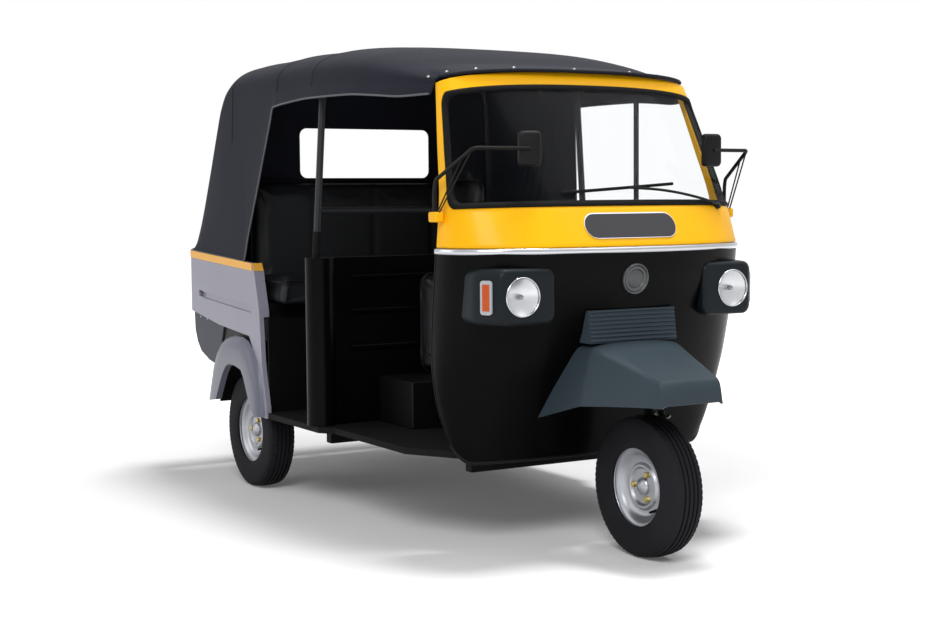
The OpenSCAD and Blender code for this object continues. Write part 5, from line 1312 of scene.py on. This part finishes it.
# %% Tyres, nuts, rim lips and valves
NUT_RING, NUT_BASE, NUT_R, NUT_H = 0.05, 0.017, 0.0112, 0.0135
NUT_TURNS = [math.radians(180.0 + 120.0 * k) for k in range(3)]
NUT_PROFILE = [(0, 0), (1, 0), (1, 0.8), (0.84, 1), (0, 1)]
LIP_R, LIP_SIDE, LIP_WIRE = 0.1425, 0.0405, 0.0035
VALVE_PROFILE = [(0, 0.034), (0.004, 0.034), (0.005, 0.02), (0.006, 0.0), (0, 0.0)]
VALVE_OFF, VALVE_BASE, VALVE_LEAN = 0.075, 0.016, 0.1
lip = [(LIP_R + LIP_WIRE * math.cos(a), LIP_SIDE + LIP_WIRE * math.sin(a))
       for a in np.linspace(0, 2 * math.pi, 13)]
for wheel, body, node, x, y, out, notch in (
        ("front", "front_wheel", "front_tyre", AXLE_X, 0.0, -1, 0.0018),
        ("rear_right", "rear_wheel_right", "rear_tyre_right", REAR_X, -TRACK_HALF, -1, 0.0036),
        ("rear_left", "rear_wheel_left", "rear_tyre_left", REAR_X, TRACK_HALF, 1, 0.0036)):
    tread = tyre_mesh(wheel + "_tread", (x, y, AXLE_Z), notch)
    tyre = put(wheel + "_tread", tread, TYRE, body, angle=34)
    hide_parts(node)
    nut_mesh = raw("nut", *turned(NUT_PROFILE, Matrix.Identity(4), 6))
    spots = [((x + NUT_RING * math.cos(a), y + out * NUT_BASE, AXLE_Z - NUT_RING * math.sin(a)),
              (-out * math.pi / 2, 0, 0)) for a in NUT_TURNS]
    nuts = repeat(wheel + "_nuts", nut_mesh, spots, BRASS, body, size=(NUT_R, NUT_R, NUT_H))
    lips = lathe(wheel + "_rim_lips", lip, [frame_at((x, y, AXLE_Z), (0, s, 0)) for s in (-1, 1)], RIM, body)
    valve_at = frame_at((x + VALVE_OFF, y + out * VALVE_BASE, AXLE_Z - VALVE_OFF),
                        (VALVE_LEAN, out, -VALVE_LEAN))
    valve = lathe(wheel + "_valve", VALVE_PROFILE, [valve_at], RUBBER, body, steps=16)
    tell(wheel + " wheel", tyre, nuts, lips, valve)

# %% [markdown]
# ## Small trim
# What the eye catches last: rubber sleeves at the feet of the poles, rivets along the skirts, the turned
# end of the stripe, ribs on the floor mat, louvres in the hatch and grips on the handlebar. What repeats
# goes through the tree of copies; the rest are short tubes and a folded strip. The louvres ride on the
# hatch, and the grips on the steering, so they follow their joints.

# %% Pole sleeves and rivets
POLE_X, POLE_FOOT, POLE_TOP = AXLE_X - 1.3257, (0.658, 1.0412), (0.613, 1.765)
SLEEVE_Z, SLEEVE_R = (1.043, 1.145), 0.0165
RIVET_FROM, RIVET_TO, RIVET_Y, RIVET_Z, RIVET_RISE = 2.308, 2.558, 0.678, 0.712, 0.017
RIVET_R, RIVET_H = 0.006, 0.003
lean = (POLE_TOP[0] - POLE_FOOT[0]) / (POLE_TOP[1] - POLE_FOOT[1])
for side, sign in (("right", -1), ("left", 1)):
    ends = [(POLE_X, sign * (POLE_FOOT[0] + lean * (z - POLE_FOOT[1])), z) for z in SLEEVE_Z]
    tube("pole_sleeve_" + side, ends, SLEEVE_R, RUBBER, sides=24)
rivets = [((AXLE_X - b, s * RIVET_Y, RIVET_Z + RIVET_RISE * (b - RIVET_FROM) / (RIVET_TO - RIVET_FROM)),
           (-s * math.pi / 2, 0, 0)) for b in np.linspace(RIVET_FROM, RIVET_TO, 4) for s in (-1, 1)]
tell("rivets", repeat("skirt_rivets", dome_mesh("rivet"), rivets, DARK_CHROME,
                      size=(RIVET_R, RIVET_R, RIVET_H)))

# %% Turned end of the stripe
FLANGE_Y, FLANGE_W, TAPE_T = 0.69, 0.046, 0.0015
STRIPE_END = ((1.8884, 0.967), (1.908, 1.0))       # how far back, and height, of its low and high edge


def tape(proud):
    return [[(AXLE_X - b + proud, -y, z) for y in (FLANGE_Y, FLANGE_Y - FLANGE_W)] for b, z in STRIPE_END]


tell("stripe", put("stripe_fold", slab("stripe_fold", tape(TAPE_T), tape(0.0)), STRIPE))

# %% Mat ribs and louvres
MAT_X, MAT_Z, MAT_HALF = AXLE_X - 1.58, 0.3615, 0.6
LOUVRE_X, LOUVRE_Y, LOUVRE_Z, LOUVRE_LEAN = TAIL_X + 0.022, (-0.22, 0.22), (0.7, 0.85), math.radians(-18)
mat_rib = brick_mesh("mat_rib", (-0.19, -0.006, 0.0), (0.19, 0.006, 0.004), 0.002, 2)
louvre = brick_mesh("louvre", (-0.006, -0.09, -0.007), (0.002, 0.09, 0.007), 0.003, 2)
mat_places = [((MAT_X, y, MAT_Z), (0, 0, 0)) for y in np.linspace(-MAT_HALF, MAT_HALF, 25)]
louvre_places = [((LOUVRE_X, y, z), (0, LOUVRE_LEAN, 0)) for y in LOUVRE_Y for z in np.linspace(*LOUVRE_Z, 6)]
tell("mat and hatch", repeat("mat_ribs", mat_rib, mat_places, FLOOR),
     repeat("hatch_louvres", louvre, louvre_places, PANEL, "hatch"))

# %% Grips
RAKE, BAR_UP, GRIP_R = math.radians(18), 0.935 - 0.017 + 0.022 + 0.02, 0.0185
BAR_BACK, BAR_OUT = 0.06, 0.145                    # where each handle starts; it ends twice as far out
bar_up = Vector((-math.sin(RAKE), 0, math.cos(RAKE)))
bar_back = Vector((-math.cos(RAKE), 0, -math.sin(RAKE)))
head = Vector((AXLE_X, 0, AXLE_Z)) + bar_up * BAR_UP
for side, sign in (("right", -1), ("left", 1)):
    path = []
    for t in (0.25, 0.55, 0.85, 1.0):
        aside = Vector((0, sign * (BAR_OUT + BAR_OUT * t), 0))
        path.append(tuple(head + bar_back * (BAR_BACK + BAR_BACK * t) + aside))
    tell("grip", tube("grip_" + side, path, GRIP_R, RUBBER, "steering", sides=20))

# %% [markdown]
# ## Stage
# The picture has a white background. Enough light to burn the floor to white would wash out the paint, so
# the lamps stay at a plain level, and the surround only looks white to rays that show it: from the camera,
# off bright trim and through glass. The floor keeps the shadow near the wheels and fades to that white
# further out.

# %% White floor
AMBIENT, FLOOR_TONE, NEAR_GLOW, GLOW_FROM, GLOW_TO = 0.16, 0.9, 0.08, 1.5, 5.0
FLOOR_HALF, WHITE = 40, (1.0, 1.0, 1.0, 1.0)


def seen_white(tree):
    """One for rays that show the white surround, and zero for rays that light the object."""
    rays = add_node(tree, "ShaderNodeLightPath").outputs
    most = rays["Is Camera Ray"]
    for ray in ("Is Glossy Ray", "Is Transmission Ray"):
        most = add_node(tree, "ShaderNodeMath", {"operation": "MAXIMUM"}, {0: most, 1: rays[ray]}).outputs[0]
    return most


white, tree = empty_material("stage_white")
spot = add_node(tree, "ShaderNodeTexCoord")
reach = add_node(tree, "ShaderNodeVectorMath", {"operation": "LENGTH"}, {0: spot.outputs["Object"]})
fade = add_node(tree, "ShaderNodeMapRange", {
    "interpolation_type": "SMOOTHSTEP", "From Min": GLOW_FROM, "From Max": GLOW_TO, "To Min": NEAR_GLOW,
    "To Max": 1.0}, {"Value": reach.outputs["Value"]})
glow = add_node(tree, "ShaderNodeMath", {"operation": "MULTIPLY"},
                {0: fade.outputs["Result"], 1: seen_white(tree)})
paint = add_node(tree, "ShaderNodeBsdfPrincipled", {
    "Base Color": (FLOOR_TONE, FLOOR_TONE, FLOOR_TONE, 1.0), "Roughness": 1.0, "Specular IOR Level": 0.0,
    "Emission Color": WHITE}, {"Emission Strength": glow.outputs[0]})
add_node(tree, "ShaderNodeOutputMaterial", links={"Surface": paint.outputs["BSDF"]})
floor_mesh = bpy.data.meshes.new("stage_floor")
corners = [(sx * FLOOR_HALF, sy * FLOOR_HALF, 0) for sx, sy in ((-1, -1), (1, -1), (1, 1), (-1, 1))]
floor_mesh.from_pydata(corners, [], [[0, 1, 2, 3]])
floor_mesh.materials.append(white)
stage_floor = helper("stage_floor", floor_mesh)
print("floor", 2 * FLOOR_HALF, "m wide")

# %% White surround
world = bpy.data.worlds.new("studio")
bpy.context.scene.world = world
world.use_nodes = True
sky = world.node_tree
sky.nodes.clear()
strength = add_node(sky, "ShaderNodeMath", {"operation": "MULTIPLY_ADD", 1: 1.0 - AMBIENT, 2: AMBIENT},
                    {0: seen_white(sky)})
backdrop = add_node(sky, "ShaderNodeBackground", {"Color": WHITE}, {"Strength": strength.outputs[0]})
add_node(sky, "ShaderNodeOutputWorld", links={"Surface": backdrop.outputs[0]})
print("ambient light", AMBIENT)

# %% [markdown]
# ## Studio light
# Four area lamps stand for softboxes: a key from the front right, a weaker fill from the left, a low one
# along the right side and a strong one high overhead. The larger a lamp looks from the object, the softer
# its shadows. The one overhead looks small, so it draws the pool of shadow under the body.

# %% Lamps
for name, where, aim, size, power in (
        ("key", (5.5, -4.5, 5.5), (0.2, 0, 0.8), 3.0, 320.0),
        ("fill", (3.5, 3.5, 7.0), (0.6, 0, 0.9), 5.0, 130.0),
        ("side", (-3.0, -6.0, 3.0), (-0.6, 0, 0.8), 4.0, 70.0),
        ("top", (0.8, 1.6, 12.0), (0, 0, 0), 2.5, 900.0)):
    lamp = bpy.data.lights.new(name, "AREA")
    lamp.energy, lamp.size = power, size
    light = helper(name, lamp)
    light.location = where
    light.rotation_euler = (Vector(aim) - Vector(where)).to_track_quat("-Z", "Y").to_euler()
    print(name, "lamp", power, "W")
bpy.context.scene.view_settings.view_transform = "Standard"
